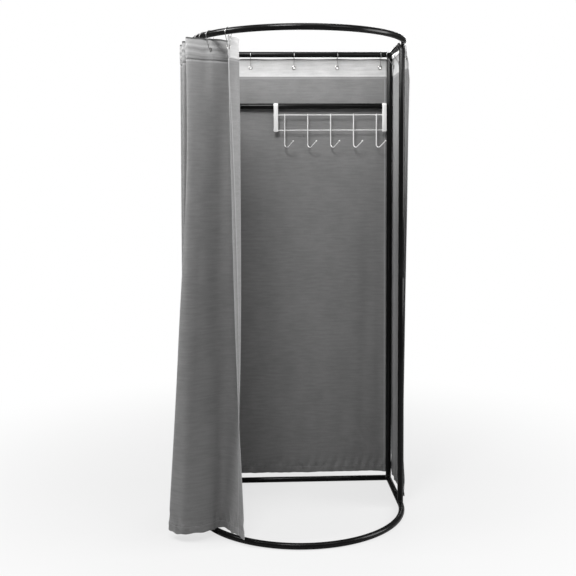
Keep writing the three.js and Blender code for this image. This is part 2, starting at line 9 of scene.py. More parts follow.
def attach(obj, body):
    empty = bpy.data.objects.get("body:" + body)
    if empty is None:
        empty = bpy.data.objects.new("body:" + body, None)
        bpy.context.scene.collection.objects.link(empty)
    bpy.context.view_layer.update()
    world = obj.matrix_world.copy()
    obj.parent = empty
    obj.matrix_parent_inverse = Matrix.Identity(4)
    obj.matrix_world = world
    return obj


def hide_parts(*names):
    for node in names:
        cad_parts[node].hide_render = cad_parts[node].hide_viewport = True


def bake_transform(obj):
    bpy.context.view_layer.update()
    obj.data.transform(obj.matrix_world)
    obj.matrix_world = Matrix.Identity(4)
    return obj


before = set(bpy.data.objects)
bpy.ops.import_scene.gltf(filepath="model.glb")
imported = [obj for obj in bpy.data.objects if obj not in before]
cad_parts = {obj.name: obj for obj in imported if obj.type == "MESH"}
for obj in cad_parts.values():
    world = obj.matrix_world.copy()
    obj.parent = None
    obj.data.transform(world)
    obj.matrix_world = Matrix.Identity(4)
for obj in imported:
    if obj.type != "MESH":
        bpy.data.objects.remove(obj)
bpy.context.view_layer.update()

# Rails of the base ring and the top ring: straight steel tube, 25 mm across with a 1.5 mm wall.
# Each is sawn to length, deburred and powder coated satin black, and its ends push onto the corners.
HALF_WIDTH = 0.4375
SIDE_SPAN = 0.3375
BASE_Z = 0.0125
TOP_Z = 1.9875
TUBE_R = 0.0125
BORE_R = 0.011
TUBE_END = 0.0173
ROUND = 48
SOFTENING = 0.0004
SIDES = [("left", -1), ("right", 1)]
LEVELS = [("base", BASE_Z, 1), ("top", TOP_Z, -1)]


class Value:
    """A number, colour or vector that changes over a surface."""

    def __init__(self, finish, socket):
        self.finish = finish
        self.socket = socket

    def sum(self, operation, *others):
        return self.finish.add("Math", {"operation": operation}, [self, *others])

    def __add__(self, other):
        return self.sum("ADD", other)

    def __mul__(self, other):
        return self.sum("MULTIPLY", other)

    def __sub__(self, other):
        return self.sum("SUBTRACT", other)

    def __rsub__(self, other):
        return self.finish.add("Math", {"operation": "SUBTRACT"}, [other, self])

    def __truediv__(self, other):
        return self.sum("DIVIDE", other)

    def __lt__(self, other):
        return self.sum("LESS_THAN", other)

    def __abs__(self):
        return self.sum("ABSOLUTE")


class Finish:
    """A material built round one Principled shader."""

    def __init__(self, name, **constants):
        self.material = bpy.data.materials.new(name)
        self.material.use_nodes = True
        self.tree = self.material.node_tree
        self.shader = self.tree.nodes["Principled BSDF"]
        self.feed(self.shader, constants)

    def feed(self, node, inputs):
        pairs = inputs.items() if isinstance(inputs, dict) else enumerate(inputs)
        for key, value in pairs:
            if isinstance(value, Value):
                self.tree.links.new(value.socket, node.inputs[key])
            else:
                node.inputs[key].default_value = value

    def add(self, kind, settings, inputs, out=0):
        node = self.tree.nodes.new("ShaderNode" + kind)
        for key, value in settings.items():
            setattr(node, key, value)
        self.feed(node, inputs)
        return Value(self, node.outputs[out])

    def place(self):
        return self.add("TexCoord", {}, {}, "Object")

    def noise(self, where, scale, detail=2.0, stretch=(1, 1, 1)):
        spread = self.add("Mapping", {}, {"Vector": where, "Scale": stretch})
        return self.add("TexNoise", {}, {"Vector": spread, "Scale": scale, "Detail": detail})

    def ease(self, value, low, high, to_low=0.0, to_high=1.0):
        return self.add("MapRange", {"interpolation_type": "SMOOTHSTEP"}, [value, low, high, to_low, to_high])

    def blend(self, factor, first, second):
        settings = {"data_type": "RGBA"}
        return self.add("Mix", settings, {0: factor, 6: first, 7: second}, 2)

    def bump(self, height, distance, strength=1.0):
        inputs = {"Height": height, "Distance": distance, "Strength": strength}
        return self.add("Bump", {}, inputs)

    def dress(self, **inputs):
        self.feed(self.shader, {key.replace("_", " "): value for key, value in inputs.items()})
        return self.material


def grey(level, warmth=0.0):
    return (level * (1 + warmth), level, level * (1 - warmth), 1)


coat = Finish("satin_black_powder_coat", **{"Specular IOR Level": 0.13})
speckle = coat.noise(coat.place(), 620, 3)
handling = coat.ease(coat.noise(coat.place(), 9, 4), 0.5, 0.72)
scuffs = coat.ease(coat.noise(coat.place(), 260, 2, (1, 1, 0.12)), 0.7, 0.8)
powder_black = coat.dress(
    Base_Color=coat.blend(scuffs * 0.35 + handling * 0.1, grey(0.005), grey(0.03)),
    Roughness=handling * 0.07 + scuffs * 0.12 + 0.22,
    Normal=coat.bump(speckle, 0.00006, 0.5),
)


def soften_rims(bm, offset=SOFTENING, sharpness=0.6):
    """Rounds every edge whose faces meet at more than this many radians."""
    rims = [e for e in bm.edges if e.calc_face_angle(0) > sharpness]
    bmesh.ops.bevel(
        bm, geom=rims, offset=offset, offset_type="OFFSET", segments=2,
        profile=0.5, affect="EDGES", material=-1, clamp_overlap=True,
    )


def turned(outline, soften=SOFTENING, sides=ROUND):
    """A closed form turned about Z from [radius, height] points, with its sharp rims softened."""
    bm = bmesh.new()
    points = [bm.verts.new((r, 0, z)) for r, z in outline]
    for a, b in zip(points, points[1:] + points[:1]):
        if a.co.x or b.co.x:
            bm.edges.new((a, b))
    bmesh.ops.spin(
        bm, geom=bm.verts[:] + bm.edges[:], cent=(0, 0, 0), axis=(0, 0, 1),
        angle=2 * pi, steps=sides, use_merge=True,
    )
    bmesh.ops.remove_doubles(bm, verts=bm.verts, dist=1e-6)
    bmesh.ops.recalc_face_normals(bm, faces=bm.faces)
    if soften:
        soften_rims(bm, soften)
    return bm


def stand(bm, foot, way=(0, 0, 1)):
    """Turns a form's Z axis to point along way, and sets its origin at foot."""
    turn = Vector((0, 0, 1)).rotation_difference(Vector(way))
    bm.transform(Matrix.Translation(foot) @ turn.to_matrix().to_4x4())
    return bm


def as_mesh(bm, name):
    mesh = bpy.data.meshes.new(name)
    bm.to_mesh(mesh)
    bm.free()
    return mesh


def piece(mesh, name, material, body, nodes=(), crease=32):
    """A finished piece of the object, which rides on a body in place of its plain solids."""
    if isinstance(mesh, bmesh.types.BMesh):
        mesh = as_mesh(mesh, name)
    mesh.polygons.foreach_set("use_smooth", [True] * len(mesh.polygons))
    mesh.set_sharp_from_angle(angle=radians(crease))
    if not mesh.materials:
        mesh.materials.append(material)
    thing = bpy.data.objects.new(name, mesh)
    bpy.context.scene.collection.objects.link(thing)
    if body:
        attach(thing, body)
    if nodes:
        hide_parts(*nodes)
    return thing


def sawn_tube(length):
    return turned([(TUBE_R, 0), (TUBE_R, length), (BORE_R, length), (BORE_R, 0)])


def coated(mesh, node):
    """A tube of the frame, which takes the place of one solid."""
    return piece(mesh, f"tube_{node}", powder_black, "frame", [node])


for level, z, _ in LEVELS:
    back_rail = sawn_tube(2 * (HALF_WIDTH - TUBE_END))
    stand(back_rail, (TUBE_END - HALF_WIDTH, 0, z), (1, 0, 0))
    coated(back_rail, f"{level}_back_rail")
    for side, way in SIDES:
        side_rail = sawn_tube(SIDE_SPAN - 2 * TUBE_END)
        stand(side_rail, (way * HALF_WIDTH, -TUBE_END, z), (0, -1, 0))
        coated(side_rail, f"{level}_{side}_rail")


# Front bows: the same tube rolled to a half circle, one at the floor and one at the top.
# The top one is also the curtain rail of the doorway.
BOW_CUT = asin(TUBE_END / HALF_WIDTH)
BOW_CENTRE = Vector((0, -SIDE_SPAN, 0))
BOW_STEPS = 108


def rolled(radius, bore, first, last, z, steps):
    """Tube or rod rolled round the bow's centre from one angle to another, closed at both ends."""
    bm = bmesh.new()
    bmesh.ops.create_circle(bm, segments=ROUND, radius=radius, cap_ends=not bore)
    if bore:
        bmesh.ops.create_circle(bm, segments=ROUND, radius=bore)
        bmesh.ops.bridge_loops(bm, edges=bm.edges[:])
    bm.transform(Matrix.Translation((HALF_WIDTH, 0, z)) @ Matrix.Rotation(pi / 2, 4, "X"))
    bmesh.ops.rotate(bm, verts=bm.verts, cent=(0, 0, 0), matrix=Matrix.Rotation(first, 3, "Z"))
    bmesh.ops.spin(
        bm, geom=bm.verts[:] + bm.edges[:] + bm.faces[:], cent=(0, 0, 0), axis=(0, 0, 1),
        angle=last - first, steps=steps,
    )
    bmesh.ops.recalc_face_normals(bm, faces=bm.faces)
    soften_rims(bm)
    bmesh.ops.translate(bm, verts=bm.verts, vec=BOW_CENTRE)
    return bm


for level, z, _ in LEVELS:
    bow = rolled(TUBE_R, BORE_R, pi + BOW_CUT, 2 * pi - BOW_CUT, z, BOW_STEPS)
    coated(bow, f"{level}_front_bow")


# Three-way corners: moulded nylon, a round elbow as thick as the tube with a plug on each arm.
# The tubes push over the plugs and butt against the arms.
ARM_END = 0.017
PLUG_R = 0.0104
PLUG_END = 0.045
CORE_R = 0.01247
PLUG_STEPS = 6
ARM_GAP = 0.0003

moulding = Finish("moulded_black_nylon", **{"Specular IOR Level": 0.2})
spark = moulding.noise(moulding.place(), 1500, 2)
sink = moulding.noise(moulding.place(), 70, 2)
nylon_black = moulding.dress(
    Base_Color=moulding.blend(sink, grey(0.006), grey(0.014)),
    Roughness=spark * 0.14 + 0.4,
    Normal=moulding.bump(spark + sink * 0.6, 0.00005, 0.6),
)


def combined(bm, tool_bm, operation):
    """Joins two closed forms into one skin, or cuts the second out of the first."""
    whole = bpy.data.objects.new("whole", as_mesh(bm, "whole"))
    tool = bpy.data.objects.new("tool", as_mesh(tool_bm, "tool"))
    for thing in (whole, tool):
        bpy.context.scene.collection.objects.link(thing)
    step = whole.modifiers.new("step", "BOOLEAN")
    step.operation = operation
    step.solver = "EXACT"
    step.use_self = operation == "UNION"
    step.object = tool
    ready = whole.evaluated_get(bpy.context.evaluated_depsgraph_get())
    mesh = bpy.data.meshes.new_from_object(ready)
    for thing in (whole, tool):
        old = thing.data
        bpy.data.objects.remove(thing)
        bpy.data.meshes.remove(old)
    return mesh


def corner_arm(centre, way):
    arm = turned([
        (0, 0), (TUBE_R, 0), (TUBE_R, ARM_END), (PLUG_R, ARM_END), (PLUG_R, PLUG_END), (0, PLUG_END),
    ])
    return stand(arm, centre, way)


for level, z, inward in LEVELS:
    for side, way in SIDES:
        for place, y in (("back", 0), ("front", -SIDE_SPAN)):
            centre = Vector((way * HALF_WIDTH, y, z))
            core = bmesh.new()
            bmesh.ops.create_uvsphere(core, u_segments=ROUND, v_segments=24, radius=CORE_R)
            bmesh.ops.translate(core, verts=core.verts, vec=centre)
            arms = [corner_arm(centre, (0, 0, inward))]
            if place == "back":
                arms += [corner_arm(centre, (-way, 0, 0)), corner_arm(centre, (0, -1, 0))]
            else:
                arms.append(corner_arm(centre, (0, 1, 0)))
                start = pi if way < 0 else 2 * pi
                mouth = BOW_CUT - ARM_GAP / HALF_WIDTH
                plug = PLUG_END / HALF_WIDTH
                for radius, reach in ((TUBE_R, mouth), (PLUG_R, plug)):
                    arms.append(rolled(radius, 0, start, start - way * reach, z, PLUG_STEPS))
            joined = bmesh.new()
            for arm in arms:
                part = as_mesh(arm, "arm")
                joined.from_mesh(part)
                bpy.data.meshes.remove(part)
            node = f"corner_{level}_{place}_{side}"
            elbow = combined(core, joined, "UNION")
            piece(elbow, f"elbow_{level}_{place}_{side}", nylon_black, "frame", [node])


# Posts: each is two lengths of the same tube. The lower one is swaged down at its top into a spigot,
# and the upper one slides over it. The back posts are drilled for the screws of the coat bar.
SPLIT_Z = 1.0
POST_FOOT_Z = BASE_Z + TUBE_END
POST_HEAD_Z = TOP_Z - TUBE_END
SPIGOT_R = 0.0107
SPIGOT_WALL = 0.0015
SPIGOT_END = 0.06
SWAGE_NECK = 0.025
SWAGE_TAPER = 0.025
SWAGE_STEP = 0.0012
BAR_Z = 1.755
SCREW_HOLE_R = 0.0034
DRILL_REACH = 0.02

for side, way in SIDES:
    for place, y in (("back", 0), ("front", -SIDE_SPAN)):
        length = SPLIT_Z - POST_FOOT_Z
        neck = SPIGOT_R - SPIGOT_WALL
        lower = turned([
            (TUBE_R, 0), (TUBE_R, length), (SPIGOT_R, length + SWAGE_STEP), (SPIGOT_R, length + SPIGOT_END),
            (neck, length + SPIGOT_END), (neck, length - SWAGE_NECK),
            (BORE_R, length - SWAGE_NECK - SWAGE_TAPER), (BORE_R, 0),
        ])
        stand(lower, (way * HALF_WIDTH, y, POST_FOOT_Z))
        coated(lower, f"post_{place}_{side}_lower")
        upper = sawn_tube(POST_HEAD_Z - SPLIT_Z - ARM_GAP)
        stand(upper, (way * HALF_WIDTH, y, SPLIT_Z + ARM_GAP))
        if place == "back":
            end = 2 * DRILL_REACH
            drill = turned([(0, 0), (SCREW_HOLE_R, 0), (SCREW_HOLE_R, end), (0, end)], 0)
            stand(drill, (way * HALF_WIDTH - DRILL_REACH, 0, BAR_Z), (1, 0, 0))
            upper = combined(upper, drill, "DIFFERENCE")
        coated(upper, f"post_{place}_{side}_upper")


# Coat bar: a length of the same tube between the back posts, with a tapped plug pressed into each end.
# A zinc-plated socket screw through each post holds it.
BAR_HALF = 0.424455
PLUG_DEPTH = 0.014
TAP_R = 0.0033
SCREW_R = 0.003
HEAD_R = 0.0055
HEAD_OUT = 0.452145
HEAD_IN = 0.45
SOCKET_R = 0.00231
SOCKET_DEPTH = 0.0014
SOCKET_CONE = 0.0004
KEY_OUT = 0.001
SHANK_IN = 0.411545
SCREW_SOFTENING = 0.0002

bar = turned([
    (TUBE_R, 0), (TUBE_R, 2 * BAR_HALF), (TAP_R, 2 * BAR_HALF), (TAP_R, 2 * BAR_HALF - PLUG_DEPTH),
    (BORE_R, 2 * BAR_HALF - PLUG_DEPTH), (BORE_R, PLUG_DEPTH), (TAP_R, PLUG_DEPTH), (TAP_R, 0),
])
stand(bar, (-BAR_HALF, 0, BAR_Z), (1, 0, 0))
coated(bar, "coat_bar")

plating = Finish("zinc_plate", Metallic=1.0)
spangle = plating.noise(plating.place(), 420, 3)
stain = plating.noise(plating.place(), 45, 3)
zinc_plate = plating.dress(
    Base_Color=plating.blend(stain, grey(0.27, -0.015), grey(0.42, 0.02)),
    Roughness=spangle * 0.16 + 0.22,
    Normal=plating.bump(spangle, 0.00002, 0.5),
)

for side, way in SIDES:
    head = HEAD_OUT - HEAD_IN
    shank = HEAD_OUT - SHANK_IN
    blank = turned([
        (0, 0), (HEAD_R * 0.62, 0), (HEAD_R * 0.88, head * 0.22), (HEAD_R, head * 0.62), (HEAD_R, head),
        (SCREW_R, head), (SCREW_R, shank), (0, shank),
    ], SCREW_SOFTENING)
    key = turned([
        (0, -KEY_OUT), (SOCKET_R, -KEY_OUT), (SOCKET_R, SOCKET_DEPTH), (0, SOCKET_DEPTH + SOCKET_CONE),
    ], 0, 6)
    screw = combined(blank, key, "DIFFERENCE")
    screw.transform(
        Matrix.Translation((way * HEAD_OUT, 0, BAR_Z)) @ Matrix.Rotation(-way * pi / 2, 4, "Y")
    )
    node = f"coat_bar_screw_{side}"
    piece(screw, f"socket_screw_{side}", zinc_plate, "frame", [node])


# Hook rack: two straps of 20 x 2 mm flat steel bent over the coat bar, which slide along it.
# Two round wires are spot welded behind the straps, and the whole rack is dipped in gloss white.
STRAP_WIDTH = 0.02
STRAP_T = 0.002
STRAP_BEND_R = 0.0141
STRAP_FRONT_Z = -0.117
STRAP_BACK_Z = -0.012
STRAP_XS = {"left": -0.084745, "right": 0.412255}
STRAP_TIP_R = 0.003
STRAP_SOFTENING = 0.0005
RACK_WIRE_R = 0.00225
RACK_WIRE_Y = -0.01085
RACK_WIRE_ENDS = (-0.096745, 0.424255)
RACK_WIRE_DROPS = {"top": 0.041, "bottom": 0.11}
TIP_STEP = 0.0004
SHOULDER_STEP = 0.0007
RACK_TIP_R = RACK_WIRE_R * 0.6
RACK_SHOULDER_R = RACK_WIRE_R * 0.86

dip = Finish("gloss_white_paint", **{"Coat Roughness": 0.08, "Specular IOR Level": 0.5})
peel = dip.noise(dip.place(), 330, 2)
runs = dip.noise(dip.place(), 55, 3, (1, 1, 0.25))
rubbed = dip.ease(dip.noise(dip.place(), 150, 4), 0.62, 0.78)
white_paint = dip.dress(
    Base_Color=dip.blend(rubbed * 0.3 + runs * 0.25, grey(0.7, 0.004), grey(0.58, 0.012)),
    Roughness=rubbed * 0.15 + 0.26,
    Coat_Weight=0.5 - rubbed * 0.3,
    Normal=dip.bump(peel + runs * 0.8, 0.00008, 0.5),
)

for side, x in STRAP_XS.items():
    strap = bmesh.new()
    foot = strap.verts.new((0, -STRAP_BEND_R, STRAP_FRONT_Z))
    shoulder = strap.verts.new((0, -STRAP_BEND_R, 0))
    strap.edges.new((foot, shoulder))
    bent = bmesh.ops.spin(
        strap, geom=[shoulder], cent=(0, 0, 0), axis=(1, 0, 0), angle=-pi, steps=20,
    )["geom_last"]
    tail = bmesh.ops.extrude_vert_indiv(strap, verts=bent)["verts"]
    bmesh.ops.translate(strap, verts=tail, vec=(0, 0, STRAP_BACK_Z))
    bmesh.ops.translate(strap, verts=strap.verts, vec=(-STRAP_WIDTH / 2, 0, 0))
    web = bmesh.ops.extrude_edge_only(strap, edges=strap.edges[:])["geom"]
    moved = [g for g in web if isinstance(g, bmesh.types.BMVert)]
    bmesh.ops.translate(strap, verts=moved, vec=(STRAP_WIDTH, 0, 0))
    tips = [v for v in strap.verts if len(v.link_edges) == 2]
    bmesh.ops.bevel(
        strap, geom=tips, offset=STRAP_TIP_R, offset_type="OFFSET", segments=5,
        profile=0.5, affect="VERTICES", material=-1,
    )
    bmesh.ops.recalc_face_normals(strap, faces=strap.faces)
    bmesh.ops.solidify(strap, geom=strap.faces[:], thickness=STRAP_T)
    reach = max(abs(v.co.y) for v in strap.verts)
    bmesh.ops.scale(strap, verts=strap.verts, vec=(1, (STRAP_BEND_R + STRAP_T / 2) / reach, 1))
    bmesh.ops.recalc_face_normals(strap, faces=strap.faces)
    soften_rims(strap, STRAP_SOFTENING, 1.0)
    bmesh.ops.translate(strap, verts=strap.verts, vec=(x, 0, BAR_Z))
    node = f"rack_bracket_{side}"
    piece(strap, f"strap_{side}", white_paint, "hook_rack", [node])


class Wire:
    """Round wire, fed out and bent in its own XZ plane."""

    def __init__(self, radius, at, heading, sides=16):
        self.bm = bmesh.new()
        self.radius = radius
        self.at = Vector((at[0], 0, at[1]))
        self.heading = heading
        bmesh.ops.create_circle(self.bm, segments=sides, radius=radius, cap_ends=True)
        stand(self.bm, self.at, self.way())
        self.end = self.bm.faces[:]
        self.sides = sides

    def way(self):
        return Vector((cos(self.heading), 0, sin(self.heading)))

    def run(self, length, radius=None):
        fresh = bmesh.ops.extrude_face_region(self.bm, geom=self.end)["geom"]
        self.end = [g for g in fresh if isinstance(g, bmesh.types.BMFace)]
        step = self.way() * length
        ring = list(self.end[0].verts)
        bmesh.ops.translate(self.bm, verts=ring, vec=step)
        self.at += step
        if radius:
            share = radius / self.radius
            bmesh.ops.scale(
                self.bm, verts=ring, vec=(share, share, share), space=Matrix.Translation(-self.at),
            )
            self.radius = radius
        return self

    def bend(self, radius, angle, steps):
        side = Vector((-sin(self.heading), 0, cos(self.heading))) * (radius if angle > 0 else -radius)
        centre = self.at + side
        spun = bmesh.ops.spin(
            self.bm, geom=self.end, cent=centre, axis=(0, -1, 0), angle=angle, steps=steps,
        )["geom_last"]
        self.end = [g for g in spun if isinstance(g, bmesh.types.BMFace)]
        turn = Matrix.Rotation(angle, 3, Vector((0, -1, 0)))
        self.at = centre + turn @ -side
        self.heading += angle
        return self


for level, drop in RACK_WIRE_DROPS.items():
    first, last = RACK_WIRE_ENDS
    rod = Wire(RACK_TIP_R, (first, BAR_Z - drop), 0.0, 20)
    rod.run(TIP_STEP, RACK_SHOULDER_R).run(SHOULDER_STEP, RACK_WIRE_R)
    rod.run(last - first - 2 * (TIP_STEP + SHOULDER_STEP), RACK_WIRE_R)
    rod.run(SHOULDER_STEP, RACK_SHOULDER_R).run(TIP_STEP, RACK_TIP_R)
    bmesh.ops.translate(rod.bm, verts=rod.bm.verts, vec=(0, RACK_WIRE_Y, 0))
    bmesh.ops.recalc_face_normals(rod.bm, faces=rod.bm.faces)
    node = f"rack_wire_{level}"
    piece(rod.bm, f"cross_wire_{level}", white_paint, "hook_rack", [node], 60)


# Five coat hooks: 5 mm wire welded to the front of both cross wires and bent up at the foot.
# Each ends in a dipped ball, and small weld beads show where it crosses the wires.
HOOK_R = 0.0025
HOOK_Y = RACK_WIRE_Y - RACK_WIRE_R - HOOK_R + 0.0003
FIRST_HOOK_X = -0.044745
HOOK_PITCH = 0.105
HOOK_XS = [FIRST_HOOK_X + HOOK_PITCH * i for i in range(5)]
HOOK_HEAD = 0.1525
HOOK_FOOT_Z = BAR_Z - 0.1885
HOOK_BEND_R = 0.014
HOOK_RISE = radians(40)
HOOK_ARM = 0.038
HOOK_BALL_R = 0.0042
HOOK_TURN = radians(-45)
HOOK_TIP = 0.0012
WELD_ASIDE = 0.0021
WELD_RADII = (0.0017, 0.0016, 0.0022)
# Steps along the wire's end, and the share of the ball's radius at each
BALL_RINGS = [
    (0.0004, 0.78), (0.0009, 0.92), (0.0014, 1), (0.0018, 0.97), (0.0016, 0.8), (0.0011, 0.5), (0.0004, 0.2),
]


def bead(bm, at, radii):
    """A small round blob of weld under the dipped paint."""
    size = Matrix.Diagonal((*radii, 1))
    bmesh.ops.create_icosphere(bm, subdivisions=2, radius=1, matrix=Matrix.Translation(at) @ size)


for i, x in enumerate(HOOK_XS):
    hook = Wire(HOOK_R * 0.55, (0, HOOK_HEAD), -pi / 2)
    hook.run(TIP_STEP, HOOK_R * 0.85).run(HOOK_TIP - TIP_STEP, HOOK_R)
    hook.run(HOOK_HEAD - HOOK_TIP - HOOK_BEND_R, HOOK_R)
    hook.bend(HOOK_BEND_R, pi / 2 + HOOK_RISE, 14)
    hook.run(HOOK_ARM - HOOK_BALL_R, HOOK_R)
    for step, share in BALL_RINGS:
        hook.run(step, HOOK_BALL_R * share)
    bmesh.ops.recalc_face_normals(hook.bm, faces=hook.bm.faces)
    bmesh.ops.rotate(
        hook.bm, verts=hook.bm.verts, cent=(0, 0, 0), matrix=Matrix.Rotation(HOOK_TURN, 3, "Z"),
    )
    bmesh.ops.translate(hook.bm, verts=hook.bm.verts, vec=(x, HOOK_Y, HOOK_FOOT_Z))
    for drop in RACK_WIRE_DROPS.values():
        for way in (-1, 1):
            spot = (x + way * WELD_ASIDE, (HOOK_Y + RACK_WIRE_Y) / 2, BAR_Z - drop)
            bead(hook.bm, spot, WELD_RADII)
    node = f"rack_hook_{i + 1}"
    piece(hook.bm, f"coat_hook_{i + 1}", white_paint, "hook_rack", [node], 60)


# Wire hangers: 2.5 mm zinc-plated spring wire bent to a closed pear that rides on the rail.
# Its foot goes through one pressed eyelet in the curtain's header.
HANGER_R = 0.00125
HANGER_LOOP_R = 0.019
HANGER_LOOP_Z = TUBE_R + HANGER_R - HANGER_LOOP_R
HANGER_FOOT_R = 0.004
HANGER_DROP = 0.057
HANGER_FOOT_Z = HANGER_FOOT_R - HANGER_DROP
BACK_CLOTH_Y = 0.018101
SIDE_CLOTH_X = 0.453445
SIDE_CURL = 0.02
SIDE_CURL_START = 0.6
CLOTH_TOP_Z = 1.971
HEADER = 0.084
EYELET_DROP = 0.00295
HANGER_FITS = {}


def eased(share):
    """A share held between nought and one, with soft ends."""
    share = np.clip(share, 0, 1)
    return share * share * (3 - 2 * share)


def side_reach(share, z):
    """How far from the middle a side curtain stands, at a share of its width from the back."""
    at = [0.033, 0.11, 0.2, 0.46, 0.9, 1.33, 1.63, 1.84, 1.907, CLOTH_TOP_Z]
    fullness = np.interp(z, at, [0.25, 0.3, 0.05, 0, 0.25, 0.6, 0.78, 1, 0.72, 0])
    return SIDE_CLOTH_X + SIDE_CURL * eased((share - SIDE_CURL_START) / (1 - SIDE_CURL_START)) * fullness


def bow_spot(angle, reach=0.0, z=0.0):
    """A point over the bow: degrees round from the left front post, reach out from the rail."""
    a = pi + radians(angle)
    r = HALF_WIDTH + reach
    return Vector((r * cos(a), r * sin(a) - SIDE_SPAN, z))


def hanger_wire():
    lean = asin((HANGER_LOOP_R - HANGER_FOOT_R) / (HANGER_LOOP_Z - HANGER_FOOT_Z))
    leg = (HANGER_LOOP_Z - HANGER_FOOT_Z) * cos(lean)
    start = (HANGER_LOOP_R * cos(lean), HANGER_LOOP_Z - HANGER_LOOP_R * sin(lean))
    pear = Wire(HANGER_R, start, pi / 2 - lean, 12)
    pear.bend(HANGER_LOOP_R, pi + 2 * lean, 30).run(leg)
    pear.bend(HANGER_FOOT_R, pi - 2 * lean, 14).run(leg)
    ends = [f for f in pear.bm.faces if len(f.verts) == pear.sides]
    bmesh.ops.delete(pear.bm, geom=ends, context="FACES_ONLY")
    bmesh.ops.remove_doubles(pear.bm, verts=pear.bm.verts, dist=1e-5)
    bmesh.ops.recalc_face_normals(pear.bm, faces=pear.bm.faces)
    return pear.bm


def hang(row, number, x, y, facing, tilt, body):
    """One hanger on a rail at x, y, with its foot swung out by tilt, and where its eyelet comes."""
    turn = Matrix.Rotation(facing, 4, "Z") @ Matrix.Rotation(-tilt, 4, "Y")
    pear = hanger_wire()
    pear.transform(Matrix.Translation((x, y, TOP_Z)) @ turn)
    node = f"hanger_{row}_{number}"
    piece(pear, f"wire_{node}", zinc_plate, body, [node], 60)
    out = Vector((cos(facing), sin(facing), 0))
    drop = HANGER_DROP * cos(tilt) + EYELET_DROP
    spot = Vector((x, y, TOP_Z - drop)) + out * HANGER_DROP * sin(tilt)
    HANGER_FITS[node] = (spot, out, body)


SIDE_WIDTH = 0.336
SIDE_BACK_Y = 0.018
SIDE_ROW_Z = 1.932
BACK_PITCH = 0.198
SIDE_PITCH = 0.14
FIRST_SIDE_Y = -0.02875
BACK_EYELET_XS = [(i - 2) * BACK_PITCH for i in range(5)]
SIDE_EYELET_YS = [FIRST_SIDE_Y - i * SIDE_PITCH for i in range(3)]
FRONT_EYELETS = [2.5, 7.8, 13.1, 18.4, 23.7, 29, 35.5, 49.6]
EYELET_CHEEK = [(0.005, 0.0008), (0.0055, 0.0017), (0.0068, 0.0021), (0.0084, 0.0018), (0.0094, 0.0011)]

for i, x in enumerate(BACK_EYELET_XS):
    hang("back", i + 1, x, 0, pi / 2, asin(BACK_CLOTH_Y / HANGER_DROP), "back_panel")
for side, way in SIDES:
    facing = 0 if way > 0 else pi
    for i, y in enumerate(SIDE_EYELET_YS):
        reach = float(side_reach((SIDE_BACK_Y - y) / SIDE_WIDTH, SIDE_ROW_Z))
        tilt = asin((reach - HALF_WIDTH) / HANGER_DROP)
        hang(side, i + 1, way * HALF_WIDTH, y, facing, tilt, f"{side}_panel")
# The first front hanger stays at its post, and the last one goes with the drawn edge
for i, angle in enumerate(FRONT_EYELETS):
    spot = bow_spot(angle)
    body = "frame" if i == 0 else "front_curtain_edge" if i == 7 else f"front_hanger_{i + 1}"
    hang("front", i + 1, spot.x, spot.y, pi + radians(angle), 0, body)

nickel = Finish("pressed_nickel_eyelet", Metallic=1.0)
press = nickel.noise(nickel.place(), 500, 3)
bright_nickel = nickel.dress(
    Base_Color=nickel.blend(press, grey(0.36, 0.015), grey(0.52, 0.02)),
    Roughness=press * 0.18 + 0.18,
    Normal=nickel.bump(press, 0.00002, 0.4),
)
for node, (spot, out, body) in HANGER_FITS.items():
    ring = turned([(r, -h) for r, h in EYELET_CHEEK] + EYELET_CHEEK[::-1], 0, 28)
    stand(ring, spot, out)
    name = node.replace("hanger", "eyelet")
    piece(ring, name, bright_nickel, body, [], 50)


# Curtains: grey plain-weave polyester about half a millimetre thick, hemmed on three sides.
# The head is faced inside with a pale stiffening tape, which the seam below the eyelets holds.
CLOTH_FOOT_Z = 0.033
CLOTH_HEIGHT = CLOTH_TOP_Z - CLOTH_FOOT_Z
SEAM = CLOTH_HEIGHT - HEADER
SIDE_HEM = 0.018
FOOT_HEM = 0.03
HEM_STEP = 0.0012
CLOTH_HALF_T = 0.00035
HEM_HALF_T = 0.0008
EYELET_CELL = 0.0062
EYELET_CUT = 0.0068
COLUMN_PITCH = 0.0066
ROW_PITCH = 0.0125
FINE_PITCH = 0.0062
FINE_FOOT = 0.12
FINE_HEAD = SEAM - 0.05
THREAD_PITCH = 0.0016
STITCH_PITCH = 0.0036
STITCH_SHARE = 0.72
STITCH_HALF = 0.00055
STITCH_IN = 0.0022
CLOTH_LEVEL = 0.195
TAPE_LEVEL = 0.5
HEAD_DIP = 0.002


def threads(stops, pitch):
    """Positions across the cloth: every stop, and even steps of about a pitch between them."""
    line = [stops[0]]
    for a, b in zip(stops, stops[1:]):
        steps = max(1, ceil((b - a) / pitch))
        line += [a + (b - a) * k / steps for k in range(1, steps + 1)]
    return line


def round_stops(places, low, high):
    """Stops at each eyelet and one cell to either side of it."""
    stops = [low, high]
    for p in places:
        stops += [p - EYELET_CELL, p, p + EYELET_CELL]
    return stops


